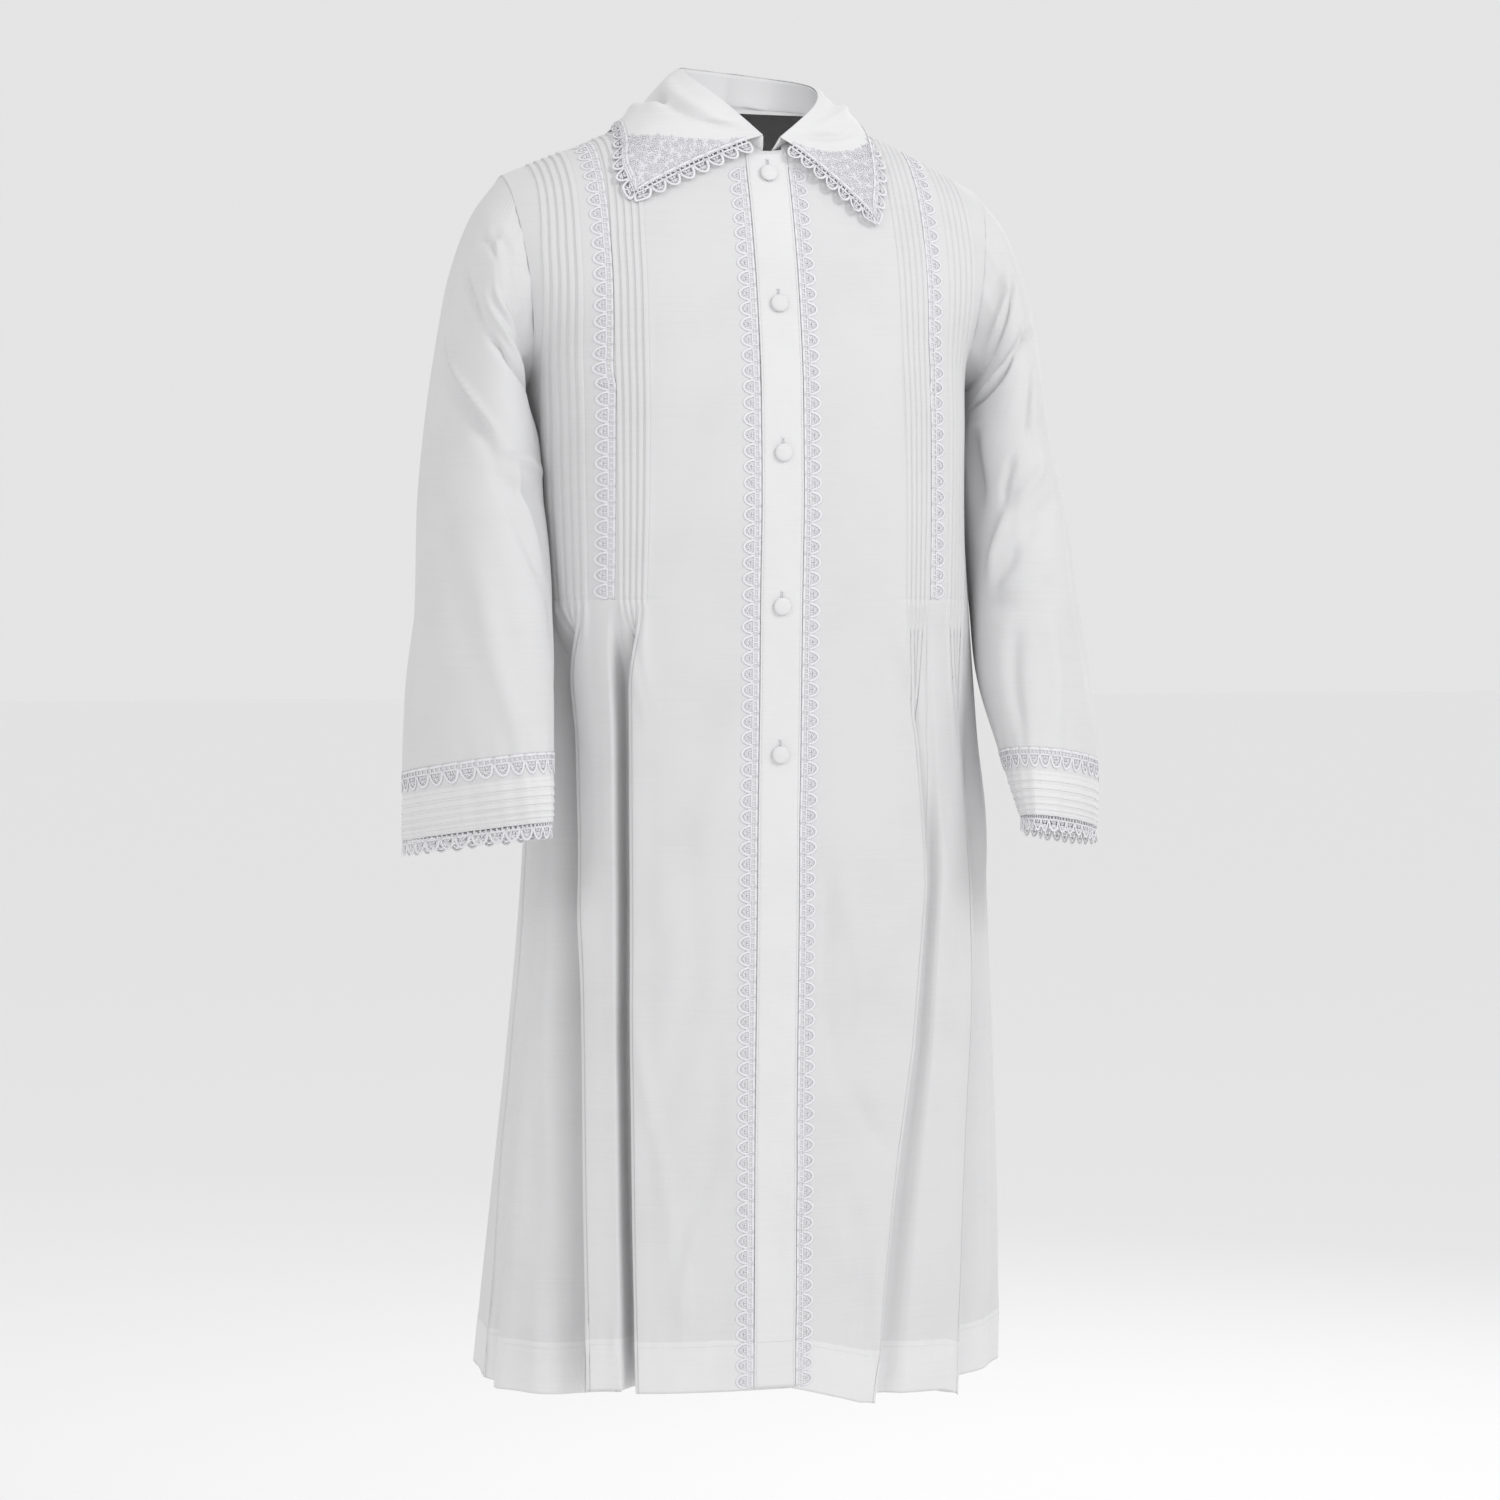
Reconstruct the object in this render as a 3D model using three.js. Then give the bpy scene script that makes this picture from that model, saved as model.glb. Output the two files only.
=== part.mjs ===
// A kittel: a white knee-length robe of light cotton, shown worn, hollow and open at neck, cuffs and hem.
// It buttons down a centre band between two strips of scalloped lace. On each front two groups of five
// pin tucks run from the shoulder seam to the waist, with a third strip of lace between them, and are let
// go there into two deep pleats. A wide turned-down collar has lace corners and a lace edge, and the wide
// sleeves end in lace, five tucks and a lace edge.
//
// Millimetres, +Z up, the wearer facing -Y, and the wearer's left at +X. The origin is between the
// shoulders, at the height of the sides of the neck.
import * as THREE from "three";

// ---------------------------------------------------------------- driving dimensions
const CLOTH = 1.4; // wall of a panel
const LACE = 1.0; // wall of a lace strip
const SEAM_GAP = 0.4; // between two pieces sewn edge to edge
const LAY_GAP = 0.5; // between a panel and what is sewn on top of it
const LACE_LAY_GAP = 0.8; // and below the lace laid on a front

const BAND_FROM = -20; // the button band's two edges, across the front
const BAND_TO = 18;
const BAND_TOP = -39.5;
const BAND_TOP_RISE = 2.5; // of its top corners over its middle
const RIGHT_FRONT_EDGE = -13.4; // the wearer's right front passes the centre, under the band
const LEFT_FRONT_EDGE = 14.2;

const LACE_WIDTH = 17;
const SCALLOP = 14.2; // pitch of the lace's scallops
const SCALLOP_DEPTH = 5.5;

const TUCKS = 5; // pin tucks in each group
const TUCK_HEIGHT = 1.2;
const TUCK_STEP = 0.6; // width of the drop at a tuck's fold
const LACE_FROM = 145; // the lace between the two groups of tucks
const TUCKS_END = -440; // height of the waist, where the tucks are let go

const UNDERARM = 7; // the section at the bottom of the armhole
const NECK_FRONT = 12; // the section at the front or back of the neckline
const SHOULDER = 15; // the section at the shoulder seam

const CUFF_HEM = 8; // plain cloth below the last tuck of a sleeve
const CUFF_TUCK = 7; // pitch of the sleeve's tucks
const CUFF_TUCK_HEIGHT = 1.0;
const CUFF_LACE_GAP = 3; // between the top tuck and the lace laid above it
const CUFF_SCALLOPS = 28;
const CUFF_LACE_LIFT = 1.4; // how far the laid lace clears the sleeve, whose turns it spans

const BUTTON_RADIUS = 7.8;
const BUTTON_HEIGHT = 4.6;
const BUTTON_HEIGHTS = [-60, -178, -310, -446, -578];
const BUTTON_ACROSS = -1;

// ---------------------------------------------------------------- tables
const table = (columns, rows) =>
  rows.map((row) =>
    Object.fromEntries(columns.map((name, i) => [name, row[i]])),
  );

// Sections of a half body, hem first. Each runs from the centre or neckline (inner) to the side seam or
// armhole (outer) as a stretch of a squared ellipse: sweep is how much of its quarter turn it makes. The
// skirt hangs a little to the wearer's left, so the wearer's right and left have their own outer edges.
const SECTION = [
  "outerZ",
  "innerZ",
  "innerX",
  "innerY",
  "outerRight",
  "outerLeft",
  "outerY",
  "sweep",
  "square",
];
const FRONT = table(SECTION, [
  [-1150, -1150, 0, -106, 232, 252, 70, 90, 2.3],
  [-1000, -1000, 0, -108, 219, 250, 62, 90, 2.3],
  [-850, -850, 0, -113, 208, 243, 50, 90, 2.35],
  [-700, -700, 0, -119, 200, 234, 36, 90, 2.4],
  [-560, -560, 0, -124, 196, 221, 24, 90, 2.5],
  [-440, -440, 0, -129, 194, 209, 16, 90, 2.6],
  [-350, -350, 0, -134, 195, 203, 14, 90, 2.6],
  [-250, -250, 0, -131, 202, 204, 14, 90, 2.6],
  [-215, -212, 0, -126, 205, 205, -34, 62, 2.5],
  [-160, -150, 0, -113, 211, 211, -52, 58, 2.4],
  [-115, -95, 0, -97, 217, 217, -44, 56, 2.3],
  [-86, -58, 0, -83, 221, 221, -28, 52, 2.2],
  [-70, -38, 4, -75, 222, 222, -10, 45, 2.1],
  [-62, -18, 46, -54, 222, 222, 8, 35, 2],
  [-57, -2, 66, -28, 221, 221, 24, 25, 2],
  [-55, 4, 72, 0, 220, 220, 36, 10, 2],
]);
const BACK = table(SECTION, [
  [-1150, -1150, 0, 192, 232, 252, 70, 90, 2.5],
  [-1000, -1000, 0, 178, 219, 250, 62, 90, 2.5],
  [-850, -850, 0, 162, 208, 243, 50, 90, 2.5],
  [-700, -700, 0, 145, 200, 234, 36, 90, 2.5],
  [-560, -560, 0, 128, 196, 221, 24, 90, 2.5],
  [-440, -440, 0, 116, 194, 209, 16, 90, 2.5],
  [-350, -350, 0, 118, 195, 203, 14, 90, 2.6],
  [-250, -250, 0, 128, 202, 204, 14, 90, 2.6],
  [-215, -208, 0, 131, 205, 205, 60, 64, 2.5],
  [-160, -148, 0, 128, 211, 211, 88, 60, 2.4],
  [-115, -92, 0, 117, 217, 217, 90, 56, 2.3],
  [-86, -44, 0, 98, 221, 221, 82, 50, 2.2],
  [-70, 14, 0, 68, 222, 222, 70, 40, 2.1],
  [-62, 14, 40, 53, 222, 222, 58, 30, 2],
  [-57, 10, 62, 28, 221, 221, 46, 20, 2],
  [-55, 4, 72, 0, 220, 220, 36, 10, 2],
]);

// Where the two groups of tucks lie, across the front, at several heights.
const TUCK_LINES = table(
  ["z", "innerFrom", "innerTo", "outerFrom", "outerTo"],
  [
    [-440, 118, 142, 164, 189],
    [-300, 116, 144, 167, 196],
    [-130, 114, 145, 168, 202],
    [-10, 109, 140, 166, 197],
  ],
);

// Where the two pleats' folded edges hang, across the front, on the wearer's right and left.
const PLEATS = table(
  ["z", "rightInner", "rightOuter", "leftInner", "leftOuter"],
  [
    [-1150, 127, 168, 94, 184],
    [-1000, 132, 171, 112, 188],
    [-850, 136, 174, 132, 192],
    [-700, 138, 177, 142, 194],
    [-560, 138, 182, 140, 194],
    [-440, 134, 184, 134, 186],
  ],
);
// The path of the cloth through a pleat, from the centre outwards: along the front and in behind it.
const PLEAT_PATH = table(
  ["along", "inward"],
  [
    [-13, 0],
    [-5, -0.8],
    [1, -1],
    [4.5, 1.5],
    [3, 6],
    [-6, 9],
    [-15, 12],
    [-17.5, 17],
    [-12, 21.5],
    [-2, 23],
    [11, 21],
  ],
);
// How far the hem dips below level at the first fold of a front, behind it, at the second and at the side.
const HEM_DIP = {
  right: { fold: 2, behind: 0, second: 2, side: 11 },
  left: { fold: 21, behind: 14, second: 25, side: 4 },
};
const PLEAT_START = -455; // the pleats open from here
const PLEAT_FULL = -660; // and have their full depth from here
const DIP_FROM = -850; // the hem's dips reach up to here

// Soft flutes of the skirt: where round each half they run, their width, depth at the hem and upper end.
const FLUTE = ["at", "width", "depth", "top"];
const FLUTES = {
  frontRight: table(FLUTE, [
    [0.42, 0.09, -5, -700],
    [0.83, 0.05, 8, -520],
    [0.94, 0.04, -6, -640],
  ]),
  frontLeft: table(FLUTE, [
    [0.3, 0.1, -6, -600],
    [0.84, 0.05, 7, -540],
    [0.93, 0.03, -7, -560],
  ]),
  backRight: table(FLUTE, [
    [0.16, 0.07, -13, -480],
    [0.45, 0.09, 12, -460],
    [0.7, 0.07, -12, -560],
    [0.86, 0.05, 7, -620],
  ]),
  backLeft: table(FLUTE, [
    [0.2, 0.08, 12, -470],
    [0.48, 0.08, -13, -500],
    [0.72, 0.06, 10, -540],
    [0.88, 0.05, -7, -600],
  ]),
};

// Rings of a sleeve below the armhole: centre (across, on the wearer's right and left), half breadth
// outwards and how steeply that points up, half breadth forwards, how far the ring is turned with its
// back edge outwards, and how far its front edge is raised.
const SLEEVE = table(
  ["rightX", "leftX", "y", "z", "out", "pitch", "front", "turn", "rise"],
  [
    [232, 230, 20, -170, 80, 78, 80, 0, 0],
    [239, 240, 20, -199, 61, 62, 85, 2, 0],
    [243, 247, 17, -238, 47, 40, 86, 5, 0],
    [246, 251, 12, -287, 45, 16, 84, 8, 2],
    [249, 259, 3, -355, 50, 4, 82, 10, 4],
    [251, 264, -20, -445, 52, 0, 84, 20, 8],
    [256, 267, -40, -513, 53, 0, 86, 26, 10],
    [262, 273, -60, -578, 44, 0, 88, 31, 12],
    [267, 278, -79, -645, 28, 0, 90, 34, 12],
  ],
);
const CUFF_LENGTH = 70; // cloth between the last two rings

// Half of the collar's fold and of its outer edge, from centre front to centre back. The edge lies on the
// front, the shoulder seam or the back, at the place given for the wearer's right and left.
const COLLAR = table(
  ["foldX", "foldY", "foldZ", "on", "rightX", "rightZ", "leftX", "leftZ"],
  [
    [8, -79, -27, "front", 119, -80, 93, -98],
    [41, -59, 2, "front", 125, -54, 101, -64],
    [58, -31, 20, "front", 121, -33, 103, -32],
    [63, 0, 33, "seam", 115, 0, 101, 0],
    [57, 29, 40, "back", 104, -24, 92, -24],
    [38, 51, 44, "back", 66, -28, 64, -28],
    [0, 63, 46, "back", 0, -30, 0, -30],
  ],
);
const COLLAR_ROLL = 3; // how far the fall arches above a straight line
const COLLAR_FOLD = 1.6; // how far out the fall turns at the fold
const COLLAR_TURN = 4; // how far the fold is turned on the neck
const COLLAR_TILT = 4.5; // and how far its wearer's right is tilted up
const COLLAR_CLEAR = 5.4; // height of the collar above what it lies on
const COLLAR_CORNER_REACH = 2.3; // how far round the neck a lace corner reaches at the outer edge
const LACE_UNDER = 1.5; // how far the collar's lace passes under its edge
const LACE_CORNER = 9; // how far before and after a corner the lace turns

// ---------------------------------------------------------------- interpolation
const mix = (a, b, t) => a + (b - a) * t;
const clamp01 = (t) => Math.min(1, Math.max(0, t));
const smooth = (t) => clamp01(t) ** 2 * (3 - 2 * clamp01(t));

const spline = (a, b, c, d, t) =>
  b +
  0.5 *
    t *
    (c -
      a +
      t * (2 * a - 5 * b + 4 * c - d + t * (3 * (b - c) + d - a)));

// A table's columns between two of its rows, as a smooth curve that keeps to rows first..last.
function between(rows, v, first = 0, last = rows.length - 1) {
  const i = Math.min(last - 1, Math.max(first, Math.floor(v)));
  const at = (k) => rows[Math.min(last, Math.max(first, k))];
  const found = {};
  for (const name of Object.keys(rows[i]))
    found[name] =
      typeof rows[i][name] === "number"
        ? spline(at(i - 1)[name], at(i)[name], at(i + 1)[name], at(i + 2)[name], v - i)
        : rows[Math.round(v)][name];
  return found;
}

// A column of a table that is listed by height, hem first.
function atHeight(rows, name, z) {
  let i = 0;
  while (i < rows.length - 2 && z > rows[i + 1].z) i++;
  const t = clamp01((z - rows[i].z) / (rows[i + 1].z - rows[i].z));
  return mix(rows[i][name], rows[i + 1][name], t);
}

// The place between low and high where a rising function passes a value.
function solve(rising, value, low, high) {
  for (let n = 0; n < 40; n++) {
    const middle = (low + high) / 2;
    if (rising(middle) < value) low = middle;
    else high = middle;
  }
  return (low + high) / 2;
}

// ---------------------------------------------------------------- the body's surface
const degrees = Math.PI / 180;

// A panel's surface: v counts its sections from the hem up, and s goes round it, from 0 at the inner
// edge to 1 at the outer one. side is -1 for the wearer's right.
class Panel {
  constructor(sections, side, flutes) {
    Object.assign(this, { sections, side, flutes });
    this.outward = sections === FRONT ? 1 : -1;
  }
  section(v) {
    const [low, top] = v <= UNDERARM ? [0, UNDERARM] : [UNDERARM, SHOULDER];
    const found = between(this.sections, v, low, top);
    found.innerX = Math.max(0, found.innerX);
    found.outerX = this.side < 0 ? found.outerRight : found.outerLeft;
    return found;
  }
  // The share of the way round at which the surface is a given distance from the centre line.
  shareAt(v, x) {
    const c = this.section(v);
    const t = clamp01((Math.abs(x) - c.innerX) / (c.outerX - c.innerX));
    const sweep = Math.min(90, c.sweep) * degrees;
    const reach = t * Math.sin(sweep) ** (2 / c.square);
    const turned = Math.asin(Math.min(1, reach ** (c.square / 2)));
    return (Math.sign(x) || 1) * (turned / sweep);
  }
  base(v, s) {
    const c = this.section(v);
    const sweep = Math.min(90, c.sweep) * degrees;
    const power = 2 / c.square;
    const turned = Math.min(1, Math.abs(s)) * sweep;
    const t = Math.sin(turned) ** power / Math.sin(sweep) ** power;
    const rise = (1 - Math.cos(turned) ** power) / (1 - Math.cos(sweep) ** power);
    const point = new THREE.Vector3(
      (s < 0 ? -1 : 1) * mix(c.innerX, c.outerX, t),
      mix(c.innerY, c.outerY, rise),
      mix(c.innerZ, c.outerZ, t),
    );
    let swing = 0;
    for (const f of this.flutes) {
      const grown = smooth((f.top - point.z) / (f.top - FRONT[0].outerZ));
      swing += f.depth * grown * Math.exp(-(((Math.abs(s) - f.at) / f.width) ** 2));
    }
    const out = new THREE.Vector3(point.x, 1.6 * (point.y - c.outerY), 0).normalize();
    return point.addScaledVector(out, swing);
  }
  normal(v, s) {
    const step = 0.02;
    const top = Math.min(SHOULDER, v + step);
    const low = Math.max(0, v - step);
    const far = s >= 1 - step ? s : s + step;
    const near = s - step;
    const across = this.base(v, far).sub(this.base(v, near));
    const up = this.base(top, s).sub(this.base(low, s));
    const n = across.cross(up).multiplyScalar(this.outward).normalize();
    if (s >= 1 && v <= UNDERARM) return n.set(1, 0, 0); // both panels face the same way at the side seam
    return n;
  }
  // A point of the panel moved out by height, on the panel's own side of the body.
  point(v, s, height = 0) {
    const p = this.base(v, s).addScaledVector(this.normal(v, s), height);
    return p.setX(p.x * this.side);
  }
  facing(v, s) {
    const n = this.normal(v, s);
    return n.setX(n.x * this.side);
  }
  // The section that passes a given height at a given distance from the centre line.
  sectionAt(x, z) {
    return solve((v) => this.base(v, this.shareAt(v, x)).z, z, 0, SHOULDER);
  }
  // A point of the panel at a distance across and a height, moved out by height.
  at(x, z, height = 0) {
    const v = this.sectionAt(x, z);
    return this.point(v, this.shareAt(v, x), height);
  }
}

const frontRight = new Panel(FRONT, -1, FLUTES.frontRight);
const frontLeft = new Panel(FRONT, 1, FLUTES.frontLeft);
const backRight = new Panel(BACK, -1, FLUTES.backRight);
const backLeft = new Panel(BACK, 1, FLUTES.backLeft);

// ---------------------------------------------------------------- cloth walls
// A wall grows from triangles of its outer face. Each vertex has a point on the outer face and one on the
// inner face, and the wall's edges are closed wherever a triangle has no neighbour.
class Wall {
  constructor() {
    this.outer = [];
    this.inner = [];
    this.faces = [];
    this.found = new Map();
  }
  vertex(outer, inner) {
    const key = outer.toArray().map((c) => Math.round(c * 50)).join();
    if (!this.found.has(key)) {
      this.found.set(key, this.outer.length);
      this.outer.push(outer);
      this.inner.push(inner);
    }
    return this.found.get(key);
  }
  triangle(a, b, c) {
    if (a !== b && b !== c && c !== a) this.faces.push([a, b, c]);
  }
  // A grid of vertices, rows of columns; closed joins the last column to the first.
  grid(rows, closed = false) {
    for (let r = 0; r + 1 < rows.length; r++) {
      const columns = rows[r].length;
      for (let c = 0; c < (closed ? columns : columns - 1); c++) {
        const d = (c + 1) % columns;
        this.triangle(rows[r][c], rows[r][d], rows[r + 1][d]);
        this.triangle(rows[r][c], rows[r + 1][d], rows[r + 1][c]);
      }
    }
    return this;
  }
  geometry() {
    const n = this.outer.length;
    const edges = new Map();
    for (const [a, b, c] of this.faces)
      for (const [p, q] of [[a, b], [b, c], [c, a]]) {
        if (edges.has(`${q},${p}`)) edges.delete(`${q},${p}`);
        else edges.set(`${p},${q}`, [p, q]);
      }
    const index = [];
    for (const [a, b, c] of this.faces) index.push(a, b, c, c + n, b + n, a + n);
    for (const [p, q] of edges.values()) index.push(q, p, p + n, q, p + n, q + n);
    const points = [...this.outer, ...this.inner];
    let volume = 0;
    for (let i = 0; i < index.length; i += 3) {
      const [a, b, c] = [0, 1, 2].map((k) => points[index[i + k]]);
      volume += a.dot(b.clone().cross(c)) / 6;
    }
    if (volume < 0)
      for (let i = 0; i < index.length; i += 3)
        [index[i], index[i + 1]] = [index[i + 1], index[i]];
    const made = new THREE.BufferGeometry().setFromPoints(points);
    made.setIndex(index);
    return made;
  }
}

const cotton = new THREE.MeshStandardMaterial({ color: 0xf1f1f0, roughness: 0.85 });
const laceThread = new THREE.MeshStandardMaterial({ color: 0xf4f3f6, roughness: 0.8 });
const covered = new THREE.MeshStandardMaterial({ color: 0xf0f0ef, roughness: 0.7 });
for (const m of [cotton, laceThread, covered]) m.metalness = 0;

// The outer faces of some walls, for what lies on them.
class Ground {
  constructor(...walls) {
    this.faces = walls.flatMap((wall) =>
      wall.faces.map(([a, b, c]) => {
        const face = new THREE.Triangle(wall.outer[a], wall.outer[b], wall.outer[c]);
        const up = face.getNormal(new THREE.Vector3());
        if (up.dot(wall.outer[a].clone().sub(wall.inner[a])) < 0) up.negate();
        const middle = face.getMidpoint(new THREE.Vector3());
        const reach = Math.max(...[face.a, face.b, face.c].map((p) => p.distanceTo(middle)));
        return { face, up, middle, reach };
      }),
    );
  }
  nearest(p) {
    let best = { distance: Infinity };
    const q = new THREE.Vector3();
    for (const { face, up, middle, reach } of this.faces) {
      if (p.distanceTo(middle) - reach > best.distance) continue;
      face.closestPointToPoint(p, q);
      const distance = p.distanceTo(q);
      if (distance < best.distance) best = { distance, up, point: q.clone() };
    }
    return best;
  }
  // Lays a point at a height over the faces, on the side it faces.
  lay(p, facing, height) {
    return this.nearest(p).point.addScaledVector(facing, height);
  }
  // Moves a point out until it is clear of the faces.
  clear(p, least) {
    for (let n = 0; n < 4; n++) {
      const { distance, up, point } = this.nearest(p);
      const away = p.clone().sub(point);
      const above = away.dot(up) > 0;
      if (above && distance >= least - 1e-3) break;
      p.copy(point).addScaledVector(above && distance > 0.05 ? away.normalize() : up, least);
    }
    return p;
  }
}

const kittel = new THREE.Group();
function add(name, shape, material = cotton) {
  const mesh = new THREE.Mesh(shape instanceof Wall ? shape.geometry() : shape, material);
  mesh.name = name;
  kittel.add(mesh);
  return mesh;
}

// ---------------------------------------------------------------- fronts and back
const SKIRT_SECTIONS = [0, 0.45, 1, 2, 2.6, 3.2, 3.8, 4.4, 5, 6];
const ARMHOLE_SECTIONS = [7, 8, 9, 10, 11, 11.5, 12, 12.5, 13, 14, 15];
const ARMHOLE_STEPS = ARMHOLE_SECTIONS.length - 1;
const NECKLINE_SECTIONS = ARMHOLE_SECTIONS.filter((v) => v >= NECK_FRONT);
const panelSections = [...SKIRT_SECTIONS, ...ARMHOLE_SECTIONS];

// At the shoulder seam both walls face straight up, so that they meet edge to edge.
const shoulderFacing = new THREE.Vector3(0.25, 0, 1).normalize();

function panelFacing(panel, v, s) {
  if (v < SHOULDER) return panel.facing(v, s);
  return shoulderFacing.clone().setX(shoulderFacing.x * panel.side);
}

// A vertex of a panel's wall: raised is a tuck's height, and inward is how far a fold lies behind.
function panelVertex(wall, panel, v, s, raised = 0, inward = 0, dip = 0) {
  const facing = panelFacing(panel, v, s);
  const base = panel.point(v, s);
  base.y += v >= SHOULDER ? (-panel.outward * SEAM_GAP) / 2 : 0;
  base.y += v <= UNDERARM && s >= 1 ? (-panel.outward * SEAM_GAP) / 2 : 0;
  base.addScaledVector(facing, -inward);
  base.z -= dip;
  return wall.vertex(
    base.clone().addScaledVector(facing, raised),
    base.clone().addScaledVector(facing, -CLOTH),
  );
}

// How far the pleats are open at a height, from 0 at the waist to 1 down the skirt.
const release = (z) => smooth((PLEAT_START - z) / (PLEAT_START - PLEAT_FULL));

const hemShare = (z) => smooth((DIP_FROM - z) / (DIP_FROM - FRONT[0].outerZ));

// The columns of a front, from the centre outwards, at one section. Each is a share round the panel, with
// the height of its tuck and the depth of its fold.
function frontColumns(panel, v, edge) {
  const z = panel.section(v).outerZ;
  const share = (x) => panel.shareAt(v, x);
  const open = release(z);
  const side = panel.side < 0 ? "right" : "left";
  const tuckHeight = TUCK_HEIGHT * (1 - smooth((TUCKS_END - z) / 90));
  const group = (name) => {
    const from = atHeight(TUCK_LINES, `${name}From`, z);
    const to = atHeight(TUCK_LINES, `${name}To`, z);
    const fold = atHeight(PLEATS, side + (name === "inner" ? "Inner" : "Outer"), z);
    return PLEAT_PATH.map((p, i) => {
      const tuck = Math.ceil(i / 2);
      const high = i % 2 === 1;
      const stitched = mix(from, to, tuck / TUCKS) + (high || i === 0 ? 0 : TUCK_STEP);
      return {
        s: share(mix(stitched, fold + p.along, open)),
        raised: high ? tuckHeight : 0,
        inward: p.inward * open,
      };
    });
  };
  const inner = group("inner");
  const outer = group("outer");
  const startShare = panel.section(v).innerX > 0 ? share(Math.max(edge, 0)) : share(edge);
  const flat = [0, 0.3, 0.62].map((t) => ({
    s: mix(startShare, inner[0].s, t),
    raised: 0,
    inward: 0,
  }));
  const end = outer[outer.length - 1];
  const rest = [0.3, 0.65, 1].map((t) => ({
    s: mix(end.s, 1, t),
    raised: 0,
    inward: end.inward * (1 - smooth(t * 1.1)),
  }));
  const columns = [...flat, ...inner, ...outer, ...rest];
  const dip = HEM_DIP[side];
  const dips = [
    [0, 0],
    [flat.length, dip.fold * 0.5],
    [flat.length + 3, dip.fold],
    [flat.length + 10, dip.behind],
    [flat.length + 14, dip.second],
    [columns.length - 1, dip.side],
  ];
  columns.forEach((c, i) => {
    const n = Math.max(1, dips.findIndex(([at]) => at >= i));
    const [[from, low], [to, high]] = [dips[n - 1], dips[n]];
    c.dip = mix(low, high, (i - from) / (to - from)) * hemShare(z);
  });
  return columns;
}

function front(name, panel, edge) {
  const wall = new Wall();
  const vertex = (v, c) => panelVertex(wall, panel, v, c.s, c.raised, c.inward, c.dip);
  const rows = panelSections.map((v) => frontColumns(panel, v, edge).map((c) => vertex(v, c)));
  add(name, wall.grid(rows));
  return wall;
}
const fronts = {
  right: front("front_right", frontRight, RIGHT_FRONT_EDGE),
  left: front("front_left", frontLeft, LEFT_FRONT_EDGE),
};

const BACK_COLUMNS = 11;
const BACK_HEM_RISE = 14; // of the back's hem over the fronts'

const backShares = Array.from({ length: BACK_COLUMNS }, (_, i) => i / (BACK_COLUMNS - 1));
const back = new Wall();
for (const panel of [backLeft, backRight])
  back.grid(
    panelSections.map((v) => {
      const share = hemShare(panel.section(v).outerZ);
      const atSide = HEM_DIP[panel.side < 0 ? "right" : "left"].side;
      const dip = (s) => share * mix(-BACK_HEM_RISE, atSide, s ** 3);
      const row = backShares.map((s) => panelVertex(back, panel, v, s, 0, 0, dip(s)));
      return panel.side > 0 ? row : row.reverse();
    }),
  );
add("back", back);

// ---------------------------------------------------------------- sleeves
const AROUND = 2 * ARMHOLE_STEPS;
const ARMHOLE_MIDDLE = new THREE.Vector3(0, 20, -152);
const ARMHOLE_HALF = { depth: 72, height: 98 };

// The angle round the sleeve at which a point of the armhole starts.
const armholeAngle = (p) =>
  Math.atan2(
    (ARMHOLE_MIDDLE.y - p.y) / ARMHOLE_HALF.depth,
    (p.z - ARMHOLE_MIDDLE.z) / ARMHOLE_HALF.height,
  );

// The armhole's loop, from the shoulder down the front, past the underarm and up the back.
function armhole(front, back) {
  const ring = [];
  for (let i = 0; i < AROUND; i++) {
    const j = i <= ARMHOLE_STEPS ? ARMHOLE_STEPS - i : i - ARMHOLE_STEPS;
    const panel = i <= ARMHOLE_STEPS ? front : back;
    const v = ARMHOLE_SECTIONS[j];
    const edge = panel.point(v, 1);
    const along = edge.clone().sub(panel.point(v, 0.97)).normalize();
    if (j === 0) along.set(panel.side, 0, 0);
    edge.addScaledVector(along, SEAM_GAP);
    edge.x += panel.side * SEAM_GAP;
    ring.push({ edge, facing: panelFacing(panel, v, 1), v });
  }
  return ring;
}

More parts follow.
